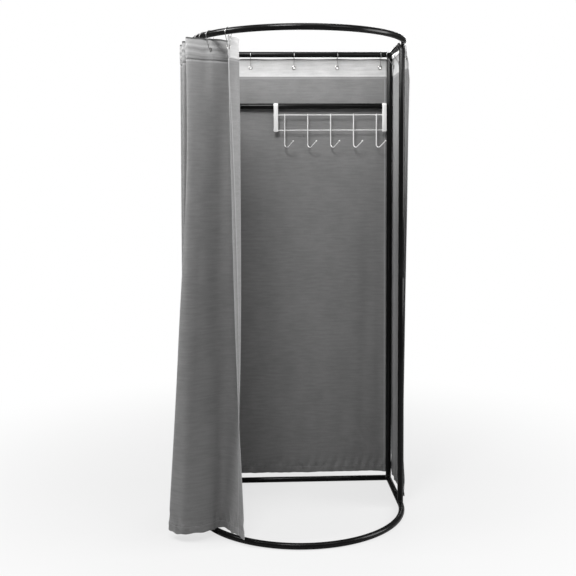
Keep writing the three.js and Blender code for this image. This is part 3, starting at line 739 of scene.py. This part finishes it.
def cut_cloth(width, holes, hem=SIDE_HEM, over_tape=0.0):
    """A flat panel in XY with its holes and flat metres as UVs. The tape stops over_tape from each side."""
    xs = sorted({hole[0] for hole in holes})
    ys = sorted({hole[1] for hole in holes})
    across = round_stops(xs, 0, width) + [hem, hem + HEM_STEP, width - hem - HEM_STEP, width - hem]
    near_seam = round_stops(ys, FINE_HEAD, CLOTH_HEIGHT) + [SEAM, SEAM + HEM_STEP]
    low = threads([0, FOOT_HEM, FOOT_HEM + HEM_STEP, FINE_FOOT], FINE_PITCH)
    body = threads([FINE_FOOT, FINE_HEAD], ROW_PITCH)
    high = threads(sorted(near_seam), FINE_PITCH)
    columns = threads(sorted(across), COLUMN_PITCH)
    rows = low + body[1:] + high[1:]
    wide, tall = len(columns) - 1, len(rows) - 1
    bm = bmesh.new()
    bmesh.ops.create_grid(bm, x_segments=wide, y_segments=tall, size=0.5)
    for v in bm.verts:
        v.co = (columns[round((v.co.x + 0.5) * wide)], rows[round((v.co.y + 0.5) * tall)], 0)
    centres = [
        v for v in bm.verts
        if any(abs(v.co.x - x) < 1e-6 and abs(v.co.y - y) < 1e-6 for x, y in holes)
    ]
    for centre in centres:
        rim = {v for f in centre.link_faces for v in f.verts} - {centre}
        for v in rim:
            v.co = centre.co + (v.co - centre.co).normalized() * EYELET_CUT
    bmesh.ops.delete(bm, geom=centres, context="VERTS")
    outer = bmesh.ops.extrude_face_region(bm, geom=bm.faces[:])["geom"]
    for v in (g for g in outer if isinstance(g, bmesh.types.BMVert)):
        v.co.z = 1
    bmesh.ops.recalc_face_normals(bm, faces=bm.faces)
    flat = bm.loops.layers.uv.new("flat_metres")
    for face in bm.faces:
        middle = face.calc_center_median()
        taped = middle.y > SEAM and over_tape < middle.x < width - over_tape
        face.material_index = int(face.normal.z > 0.5 and taped)
        for loop in face.loops:
            loop[flat].uv = loop.vert.co.xy
    return bm


def hung(bm, name, width, hem, spot_at, ruck_at):
    """Hangs a flat panel: spot_at gives points and inward sides, ruck_at how far it stands in and rises."""
    mesh = as_mesh(bm, name)
    flat = np.zeros(len(mesh.vertices) * 3)
    mesh.vertices.foreach_get("co", flat)
    u, v, face = flat.reshape(-1, 3).T
    from_side = np.minimum(u, width - u)
    hemmed = (from_side < hem + HEM_STEP / 2) | (v < FOOT_HEM + HEM_STEP / 2)
    headed = v > SEAM + HEM_STEP / 2
    half = np.where(hemmed | headed, HEM_HALF_T, CLOTH_HALF_T)
    point, inward = spot_at(u, v)
    stand_in, rise = ruck_at(u, v)
    offset = stand_in + half * (2 * face - 1)
    placed = np.stack([
        point[0] + inward[0] * offset, point[1] + inward[1] * offset, CLOTH_FOOT_Z + v + rise,
    ], 1)
    mesh.vertices.foreach_set("co", placed.ravel())
    mesh.update()
    return mesh


def hump(away, half):
    """One where away is nought, falling smoothly to either side."""
    return np.exp(-((away / half) ** 2))


def near_head(v):
    """One at the head's edge, fading down the cloth."""
    return np.exp(-((CLOTH_HEIGHT - v) / 0.03))


def slow_noise(u, v, seed):
    """Smooth seeded unevenness, from a few crossing waves."""
    draw = np.random.default_rng(seed)
    total = np.zeros_like(u)
    for k in range(7):
        across = draw.uniform(6, 34)
        down = draw.uniform(0.8, 5)
        total += np.sin(across * u + down * v + draw.uniform(0, 2 * pi)) / (1 + 0.12 * across)
    return total


def hem_ruck(u, v, seed, wave=1.0):
    """Puckers that the stitching draws into the foot hem, and the hem's slightly uneven edge."""
    draw = np.random.default_rng(seed)
    a, b, c, d = draw.uniform(0, 2 * pi, 4)
    swell = 0.6 + 0.4 * np.sin(9 * u + a)
    fine = np.sin(2 * pi * u / 0.0162 + 2.2 * np.sin(17 * u + b)) * swell
    broad = np.sin(2 * pi * (u + 0.3 * v) / 0.041 + 1.6 * np.sin(8 * u + d)) ** 3
    near = hump(v - FOOT_HEM, 0.014)
    above = hump(v - FOOT_HEM - 0.012, 0.032)
    stand_in = 0.0012 * fine * near + 0.0032 * broad * above
    stand_in = stand_in + 0.0024 * wave * np.sin(2 * pi * u / 0.083 + c) * np.exp(-v / 0.05)
    edge = 0.0022 * np.sin(2 * pi * u / 0.119 + b) + 0.0014 * np.sin(2 * pi * u / 0.041 + a)
    rise = wave * edge * np.exp(-v / 0.025)
    return stand_in, rise


def head_ruck(u, v, seed, force=1.0):
    """The header's stiff tape swells a little outwards over its seam, with a few lying creases."""
    draw = np.random.default_rng(seed)
    a, b = draw.uniform(0, 2 * pi, 2)
    up = np.clip((v - SEAM) / HEADER, 0, 1)
    inside = np.sin(pi * up) ** 0.7
    crease = np.sin(2 * pi * v / 0.019 + 1.3 * np.sin(15 * u + a)) * (0.6 + 0.4 * np.sin(31 * u + b))
    return -0.0016 * inside - 0.0005 * force * crease * inside + 0.0012 * hump(v - SEAM, 0.004)


def weave(name, width, hem, level, faced):
    """The cloth's finish: threads, slubs, painted shade and highlights at the hems, seam, header and foot,
    and lock stitch along the hems and the seam.
    """
    cloth = Finish(name, **{
        "Specular IOR Level": 0.18, "Sheen Weight": 0.22, "Sheen Roughness": 0.45,
        "Sheen Tint": (0.8, 0.8, 0.82, 1),
    })
    flat = cloth.add("UVMap", {"uv_map": "flat_metres"}, {})
    split = cloth.add("SeparateXYZ", {}, [flat])
    u = split
    v = Value(cloth, split.socket.node.outputs[1])
    warp = (u * (2 * pi / THREAD_PITCH)).sum("SINE")
    weft = (v * (2 * pi / THREAD_PITCH)).sum("SINE")
    cross = warp * weft * 0.5 + 0.5
    thick_weft = cloth.noise(flat, 1, 3, (9, 420, 1))
    thick_warp = cloth.noise(flat, 1, 2, (300, 60, 1))
    streaks = cloth.noise(flat, 1, 3, (16, 95, 1))
    slubs = thick_weft * 0.7 + thick_warp * 0.3
    cloud = cloth.noise(flat, 7, 4, (1.6, 1, 1))
    tone = slubs * 0.35 + streaks * 0.3 + cloud * 0.25 + cross * 0.1
    from_side = u.sum("MINIMUM", width - u)
    from_head = CLOTH_HEIGHT - v
    seam_line = HEADER - 0.002
    # Each row of stitches: what it keeps clear of, how far, and the way it runs
    lines = [
        (from_side, hem - STITCH_IN, v), (v, FOOT_HEM - STITCH_IN, u), (from_head, seam_line, u),
        (from_head, HEADER - 0.0075, u), (from_side, 0.0025, v),
    ]
    stitches = None
    for across, at, along in lines:
        dash = (along / STITCH_PITCH).sum("FRACT") < STITCH_SHARE
        thread = (abs(across - at) < STITCH_HALF) * dash
        stitches = thread if stitches is None else stitches.sum("MAXIMUM", thread)

    def stripe(across, at, half):
        return 1 - cloth.ease(abs(across - at), 0.0, half)

    # Painted shade along the hem folds, the foot hem and the seam; the same mask also sinks the bump there
    fold_groove_and_shade = stripe(from_side, hem, 0.007).sum("MAXIMUM", stripe(v, FOOT_HEM, 0.0035) * 0.3)
    fold_groove_and_shade = fold_groove_and_shade.sum("MAXIMUM", stripe(from_head, seam_line, 0.004))
    # Painted highlight along the hem folds and below the seam
    painted_fold_highlight = stripe(from_side, 0.001, 0.008).sum("MAXIMUM", stripe(from_side, hem + 0.009, 0.005))
    painted_fold_highlight = painted_fold_highlight.sum("MAXIMUM", stripe(from_head, HEADER + 0.005, 0.006))
    dark, pale = grey(level * 0.86), grey(level * 1.14, 0.004)
    ground = cloth.blend(cloth.ease(tone, 0.34, 0.66), dark, pale)
    if not faced:
        # The tape behind the header shows through paler, with painted shade in its creases, painted highlight
        # on its swells and a painted shadow along the top edge
        lined = cloth.ease(from_head, HEADER + 0.001, HEADER - 0.001, 0.0, 0.4)
        ground = cloth.blend(lined, ground, grey(level * 2))
        drift = from_head + cloth.noise(flat, 1, 2, (13, 3, 1)) * 0.03
        crease = stripe(drift, 0.057, 0.007).sum("MAXIMUM", stripe(drift, 0.083, 0.006))
        swell = stripe(drift, 0.044, 0.008).sum("MAXIMUM", stripe(drift, 0.07, 0.006))
        # Painted highlight on the header's swells, then painted shade in its creases
        ground = cloth.blend(swell * lined * 0.7, ground, grey(level * 2.4))
        ground = cloth.blend(crease * lined * 0.9, ground, grey(level * 0.6))
        # Painted shadow along the top edge of the outside
        painted_top_edge_shade = cloth.ease(from_head, 0.0085, 0.0045, 0.0, 0.9)
        ground = cloth.blend(painted_top_edge_shade, ground, grey(level * 0.2))
    # Painted shade and highlight of soft puckers lie along the foot hem, and painted highlights lie beside
    # the painted shade of the hems' folds
    painted_pucker_shading = cloth.noise(flat, 1, 2, (30, 34, 1))
    near_foot = stripe(v, FOOT_HEM - 0.002, 0.03)
    ground = cloth.blend(cloth.ease(painted_pucker_shading, 0.56, 0.68) * near_foot * 0.5, ground, grey(level * 0.5))
    ground = cloth.blend(cloth.ease(painted_pucker_shading, 0.44, 0.34) * near_foot * 0.35, ground, grey(level * 1.7))
    # Painted highlight, then painted shade, on the folds of the hems and the seam
    painted_highlit = cloth.blend(painted_fold_highlight * 0.5, ground, grey(min(0.6, level * 1.9)))
    shaded = cloth.blend(fold_groove_and_shade * 0.75, painted_highlit, grey(level * 0.4))
    colour = cloth.blend(stitches, shaded, grey(level * (1.15 if faced else 1.7)))
    relief = cross * 0.5 + slubs * 0.8 + streaks * 0.5 + stitches * 1.4 - fold_groove_and_shade * 1.2
    return cloth.dress(
        Base_Color=colour,
        Roughness=cloud * 0.1 + 0.8,
        Normal=cloth.bump(relief, 0.00035, 0.7),
    )


def sew(name, row, bm, width, spot_at, ruck_at, body, hem=SIDE_HEM):
    mesh = hung(bm, name, width, hem, spot_at, ruck_at)
    mesh.materials.append(weave(f"{name}_cloth", width, hem, CLOTH_LEVEL, False))
    mesh.materials.append(weave(f"{name}_tape", width, hem, TAPE_LEVEL, True))
    panel = piece(mesh, name, None, body, [f"{row}_curtain"], 60)
    return panel


# Back curtain: hung spread behind the coat bar from five hangers.
# Its right edge rolls a little forward low down, and the head dips between the hangers.
BACK_WIDTH = 0.891


def back_spot(u, v):
    x = BACK_WIDTH / 2 - u
    y = np.full_like(u, BACK_CLOTH_Y)
    return (x, y), (np.zeros_like(u), -np.ones_like(u))


def back_ruck(u, v):
    x = BACK_WIDTH / 2 - u
    low = eased((1.62 - v) / 1.2)
    stand_in, rise = hem_ruck(u, v, 11, 0.3)
    valley = hump(x - 0.352 + 0.03 * (1.4 - v), 0.03)
    slant = np.sin(2 * pi * (x + 0.45 * v) / 0.075) ** 3 * hump(x - 0.33, 0.1) * hump(v - 0.13, 0.12)
    stand_in = stand_in - 0.0012 * np.sin(2 * pi * x / BACK_PITCH) * (1 - 0.6 * low)
    stand_in = stand_in + low * (0.0018 * slow_noise(u, v, 5) - 0.007 * valley) + 0.003 * slant
    stand_in = stand_in + low * 0.012 * np.clip((x - 0.385) / 0.034, 0, 1) ** 2
    rise = rise - HEAD_DIP * near_head(v) * np.sin(pi * (x / BACK_PITCH % 1)) ** 2
    rise = rise + 0.007 * (1 - v / CLOTH_HEIGHT)
    return stand_in + head_ruck(u, v, 77), rise


back_row = HANGER_FITS["hanger_back_1"][0].z - CLOTH_FOOT_Z
back_flat = cut_cloth(BACK_WIDTH, [(BACK_WIDTH / 2 - x, back_row) for x in BACK_EYELET_XS])
sew("back_panel_cloth", "back", back_flat, BACK_WIDTH, back_spot, back_ruck, "back_panel")


# Side curtains: narrow panels outside the posts, hung from three hangers each.
# The front edge stands off the post in a soft curl, fullest below the header.
def side_curtain(side, way):
    spots = [HANGER_FITS[f"hanger_{side}_{i}"][0] for i in (1, 2, 3)]
    row = spots[0].z - CLOTH_FOOT_Z
    places = [(SIDE_BACK_Y - spot.y, spot.z - spots[0].z) for spot in spots]
    holes = [(f if way < 0 else SIDE_WIDTH - f, row) for f, lift in places]

    def side_spot(u, v):
        forward = u if way < 0 else SIDE_WIDTH - u
        x = way * side_reach(forward / SIDE_WIDTH, v + CLOTH_FOOT_Z)
        y = SIDE_BACK_Y - forward
        return (x, y), (np.full_like(u, -way), np.zeros_like(u))

    def side_ruck(u, v):
        forward = u if way < 0 else SIDE_WIDTH - u
        stand_in, rise = hem_ruck(u, v, 23 + way)
        low = np.clip((1.75 - v) / 0.5, 0, 1)
        wave = np.sin(2 * pi * forward / 0.17)
        stand_in = stand_in + low * (0.0013 * slow_noise(u, v, 31 + way) - 0.002 * wave)
        past_eyelet = (forward - SIDE_BACK_Y + FIRST_SIDE_Y) / SIDE_PITCH % 1
        rise = rise - HEAD_DIP * near_head(v) * np.sin(pi * past_eyelet) ** 2
        for f, lift in places:
            rise = rise + lift * hump(forward - f, 0.03) * hump(v - row, 0.06)
        return stand_in + head_ruck(u, v, 61 + way), rise

    panel = f"{side}_panel"
    side_flat = cut_cloth(SIDE_WIDTH, holes)
    sew(f"{panel}_cloth", side, side_flat, SIDE_WIDTH, side_spot, side_ruck, panel)


for side, way in SIDES:
    side_curtain(side, way)


# Front curtain: the door of the room, drawn open and gathered at the left end of the bow.
# Its folds lie by turns inside and outside the rail, and the last broad one flares to the hem.
# Points of its line are degrees round the bow and millimetres out from the rail, but for TIGHT_FOLD.
TIGHT_TOP = FRONT_EYELETS[:6]
TIGHT_HEM = [2.7, 8.1, 13.6, 19, 24, 27.4]
DEPTH_TOP = [-96, 56, -98, 66, -96]
DEPTH_HEM = [-98, 66, -100, 90, -100]
FLAP = [(3.6, 50), (3.1, 26), (2.1, 7)]
# One tight fold, in shares of its angle and its depth
TIGHT_FOLD = [
    (0.2, 0.03), (0.33, 0.25), (0.31, 0.62), (0.33, 0.88), (0.5, 1), (0.67, 0.88), (0.69, 0.62), (0.67, 0.25),
    (0.8, 0.03), (1, 0),
]
# Each level: its height over the floor, the share of the hem's form in its tight folds, and its broad folds
LEVEL_TOP = (1.895, 0.0, [
    (29, 0), (29.9, 3), (30.7, 28), (31.2, 62), (32, 88), (33.4, 97), (34.5, 88), (34.6, 52), (34.4, 18),
    (34.9, 6), (35.5, 0), (36.1, -6.5), (36.4, -21), (36.4, -50), (36.6, -78), (38.6, -92), (42.6, -97),
    (45.8, -88), (48, -56), (48.8, -20), (49, -4), (49.6, 0), (50.4, 6), (51.2, 13), (52.2, 20),
])
LEVEL_BODY = (1.6, 0.15, [
    (29.2, 2), (30.1, 12), (30.9, 38), (31.5, 70), (32.4, 92), (33.9, 99), (34.9, 88), (34.9, 60), (34.6, 32),
    (34.5, 10), (34.4, -8), (34.3, -26), (34.2, -44), (34.6, -64), (36, -83), (39, -94), (43, -98),
    (46.2, -88), (48.6, -60), (49.8, -28), (50.3, -8), (50.7, 2), (51.2, 9), (51.8, 15), (52.4, 20),
])
LEVEL_MID = (0.74, 0.55, [
    (28.8, 0), (29.2, 24), (29.6, 58), (29.9, 96), (30.3, 126), (31.3, 138), (33.2, 131), (34.6, 110),
    (35.4, 82), (35.8, 54), (35.9, 28), (35.9, 4), (36, -16), (36.4, -34), (37.6, -52), (39.8, -64),
    (43, -73), (46.2, -73), (48.8, -62), (50.8, -42), (52.2, -22), (53, -6), (53.7, 6), (54.3, 14),
    (54.8, 20),
])
LEVEL_HEM = (0.033, 1.0, [
    (27.4, 20), (27.3, 60), (27.3, 100), (27.4, 140), (27.7, 168), (28.9, 180), (31, 173), (33.2, 160),
    (35.3, 143), (37.4, 118), (38.8, 90), (39.6, 60), (39.8, 34), (39.4, 14), (39.6, 3), (41.5, -5),
    (44.5, -6), (47.5, -2), (50.3, 5), (53, 12), (55.2, 18), (56.6, 23), (57.9, 28), (59, 32), (60, 36),
])
FOLD_STEPS = 12
# Eyelets seven and eight hold the line at these points of its broad folds
BROAD_EYELETS = [10, 21]
# The door's side hems are twice as wide, and a low crest stands this far along its foot
DOOR_HEM = 0.036
CREST_FOOT = 1.222


def fold_points(share, broad):
    """The line of the gathered cloth at one level, seen from above."""
    angles = [a + (b - a) * share for a, b in zip(TIGHT_TOP, TIGHT_HEM)]
    depths = [a + (b - a) * share for a, b in zip(DEPTH_TOP, DEPTH_HEM)]
    line = FLAP + [(angles[0], 0)]
    for a, b, depth in zip(angles, angles[1:], depths):
        line += [(a + (b - a) * along, depth * out) for along, out in TIGHT_FOLD]
    line = line[:-1] + broad
    return np.array([bow_spot(angle, reach / 1000).xy for angle, reach in line])


def smooth_line(points):
    """A centripetal spline through the points, with the same number of steps in every span."""
    ends = np.vstack([2 * points[0] - points[1], points, 2 * points[-1] - points[-2]])
    knots = np.concatenate([[0], np.cumsum(np.sqrt(np.linalg.norm(np.diff(ends, axis=0), axis=1)))])
    out = []
    for i in range(1, len(ends) - 2):
        p0, p1, p2, p3 = ends[i - 1:i + 3]
        t0, t1, t2, t3 = knots[i - 1:i + 3]
        t = np.linspace(t1, t2, FOLD_STEPS, endpoint=False)[:, None]
        a1 = (t1 - t) / (t1 - t0) * p0 + (t - t0) / (t1 - t0) * p1
        a2 = (t2 - t) / (t2 - t1) * p1 + (t - t1) / (t2 - t1) * p2
        a3 = (t3 - t) / (t3 - t2) * p2 + (t - t2) / (t3 - t2) * p3
        b1 = (t2 - t) / (t2 - t0) * a1 + (t - t0) / (t2 - t0) * a2
        b2 = (t3 - t) / (t3 - t1) * a2 + (t - t1) / (t3 - t1) * a3
        out.append((t2 - t) / (t2 - t1) * b1 + (t - t1) / (t2 - t1) * b2)
    return np.vstack([*out, points[-1:]])


fold_levels = [LEVEL_HEM, LEVEL_MID, LEVEL_BODY, LEVEL_TOP]
fold_heights = np.array([z for z, share, broad in fold_levels])
fold_lines = np.array([smooth_line(fold_points(share, broad)) for z, share, broad in fold_levels])
fold_lengths = np.linalg.norm(np.diff(fold_lines, axis=1), axis=2)
run_lengths = np.concatenate([np.zeros((len(fold_levels), 1)), np.cumsum(fold_lengths, axis=1)], axis=1)
FRONT_WIDTH = float(run_lengths[:, -1].mean())
fold_shares = (run_lengths / run_lengths[:, -1:]).mean(axis=0) * FRONT_WIDTH
fold_slopes = np.gradient(fold_lines, fold_heights, axis=0)
fold_slopes[-1] = 0


def fold_spot(u, v):
    """Where a point of the flat cloth hangs, between the four levels."""
    z = np.clip(CLOTH_FOOT_Z + v, fold_heights[0], fold_heights[-1])
    k = np.clip(np.searchsorted(fold_heights, z) - 1, 0, len(fold_heights) - 2)
    gap = fold_heights[k + 1] - fold_heights[k]
    t = (z - fold_heights[k]) / gap
    at = np.interp(u, fold_shares, np.arange(len(fold_shares)))
    low = np.clip(at.astype(int), 0, len(fold_shares) - 2)
    part = (at - low)[:, None]

    def along(table, level):
        return table[level, low] * (1 - part) + table[level, low + 1] * part

    t = t[:, None]
    gap = gap[:, None]
    return (
        (2 * t**3 - 3 * t**2 + 1) * along(fold_lines, k) + (t**3 - 2 * t**2 + t) * gap * along(fold_slopes, k)
        + (3 * t**2 - 2 * t**3) * along(fold_lines, k + 1) + (t**3 - t**2) * gap * along(fold_slopes, k + 1)
    )


def front_spot(u, v):
    here = fold_spot(u, v)
    ahead = fold_spot(np.minimum(u + 0.002, FRONT_WIDTH), v)
    behind = fold_spot(np.maximum(u - 0.002, 0), v)
    way = ahead - behind
    way /= np.linalg.norm(way, axis=1)[:, None]
    return here.T, (-way[:, 1], way[:, 0])


def front_ruck(u, v):
    stand_in, rise = hem_ruck(u, v, 47)
    low = np.clip(1.8 - v, 0, 1)
    stand_in = stand_in + low * 0.0011 * slow_noise(u, v, 8)
    crest = hump(u - CREST_FOOT + 0.04 * v, 0.034)
    stand_in = stand_in - 0.013 * crest * eased((1.5 - v) / 0.75)
    rise = rise - HEAD_DIP * near_head(v) * np.sin(2 * pi * u / 0.12) ** 2
    return stand_in + head_ruck(u, v, 91, 2.2), rise


eyelet_points = [len(FLAP) + len(TIGHT_FOLD) * i for i in range(len(TIGHT_TOP))]
eyelet_points += [eyelet_points[-1] + k for k in BROAD_EYELETS]
front_row = TOP_Z - HANGER_DROP - EYELET_DROP - CLOTH_FOOT_Z
front_holes = [(float(fold_shares[k * FOLD_STEPS]), front_row) for k in eyelet_points]
front_flat = cut_cloth(FRONT_WIDTH, front_holes, DOOR_HEM, DOOR_HEM)
front_cloth = sew(
    "front_curtain_cloth", "front", front_flat, FRONT_WIDTH, front_spot, front_ruck, None,
    DOOR_HEM,
)
bow_spot(2.5)
bow_spot(38)
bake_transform(front_cloth)


# Studio: a pale floor that is white to the camera and keeps a soft shadow, and a white room round it.
# Soft boxes stand at the left and right, before the doorway and the curtain, overhead and behind.
ROOM_LIGHT = 0.13


def lamp(name, at, aim, size, power):
    light = bpy.data.lights.new(name, "AREA")
    light.shape = "RECTANGLE"
    light.size, light.size_y = size
    light.energy = power
    thing = bpy.data.objects.new(name, light)
    bpy.context.scene.collection.objects.link(thing)
    thing.location = at
    thing.rotation_euler = (Vector(aim) - Vector(at)).to_track_quat("-Z", "Y").to_euler()


lamp("softbox_left", (-2.6, -0.7, 3.3), (-0.35, -0.5, 1.7), (1.2, 1.0), 112)
lamp("softbox_right", (3.0, -0.8, 1.8), (-0.1, -0.5, 1.3), (1.6, 2.0), 118)
lamp("softbox_doorway", (1.15, -1.9, 2.7), (0.05, -0.15, 1.4), (0.7, 0.7), 9)
lamp("softbox_curtain", (-0.5, -1.9, 3.1), (-0.35, -0.5, 1.8), (0.7, 0.7), 50)
lamp("softbox_top", (0.0, -0.9, 3.4), (0.0, -0.3, 1.4), (1.2, 1.0), 14)
lamp("softbox_back", (0.9, 3.6, 2.5), (0.0, 0.0, 1.1), (1.6, 1.6), 70)

floor_bm = bmesh.new()
bmesh.ops.create_grid(floor_bm, x_segments=8, y_segments=8, size=30)
floor = bpy.data.objects.new("studio_floor", as_mesh(floor_bm, "studio_floor"))
bpy.context.scene.collection.objects.link(floor)
ground = Finish("studio_floor_pale", Roughness=0.9)
ground.dress(Base_Color=grey(0.45), Specular_IOR_Level=0.0)
spread = ground.add("VectorMath", {"operation": "LENGTH"}, [ground.place()], "Value")
camera_only = ground.add("LightPath", {}, {}, "Is Camera Ray")
share = camera_only * ground.ease(spread, 0.6, 2.4, 0.7, 1.0)
glow = ground.add("Emission", {}, {"Color": grey(1.0), "Strength": 1.0})
mixed = ground.add("MixShader", {}, [share, Value(ground, ground.shader.outputs[0]), glow])
output = next(n for n in ground.tree.nodes if n.type == "OUTPUT_MATERIAL")
ground.tree.links.new(mixed.socket, output.inputs["Surface"])
floor.data.materials.append(ground.material)

world = bpy.data.worlds.new("white_room")
world.use_nodes = True
bpy.context.scene.world = world
links = world.node_tree.links
sky = world.node_tree.nodes["Background"]
rays = world.node_tree.nodes.new("ShaderNodeLightPath")
seen = world.node_tree.nodes.new("ShaderNodeMath")
seen.operation = "MAXIMUM"
level = world.node_tree.nodes.new("ShaderNodeMapRange")
level.inputs["To Min"].default_value = ROOM_LIGHT
level.inputs["To Max"].default_value = 1.0
sky.inputs["Color"].default_value = (1, 1, 1, 1)
links.new(rays.outputs["Is Camera Ray"], seen.inputs[0])
links.new(rays.outputs["Is Transmission Ray"], seen.inputs[1])
links.new(seen.outputs[0], level.inputs["Value"])
links.new(level.outputs["Result"], sky.inputs["Strength"])
bpy.context.scene.view_settings.view_transform = "Standard"

# Camera: 1.43 m over the floor, a little over four metres in front of the back rail and 0.2 m to its left.
# The lens is given in pixels of the square picture.
EYE = Vector((-0.2076, -4.1557, 1.4337))
YAW, PITCH, ROLL = 0.042278, -0.072216, -0.005014
PICTURE_PIXELS = 576
FOCAL_PIXELS = 902.77
SHIFT_PIXELS = -46
SENSOR_WIDTH = 36
gaze = Vector((sin(YAW) * cos(PITCH), cos(YAW) * cos(PITCH), sin(PITCH)))
level_right = Vector((cos(YAW), -sin(YAW), 0))
level_up = level_right.cross(gaze)
right = level_right * cos(ROLL) + level_up * sin(ROLL)
up = -level_right * sin(ROLL) + level_up * cos(ROLL)
camera = bpy.data.objects.new("camera", bpy.data.cameras.new("camera"))
bpy.context.scene.collection.objects.link(camera)
camera.matrix_world = Matrix.Translation(EYE) @ Matrix((right, up, -gaze)).transposed().to_4x4()
camera.data.sensor_width = SENSOR_WIDTH
camera.data.lens = FOCAL_PIXELS / PICTURE_PIXELS * SENSOR_WIDTH
camera.data.shift_y = SHIFT_PIXELS / PICTURE_PIXELS
bpy.context.scene.camera = camera
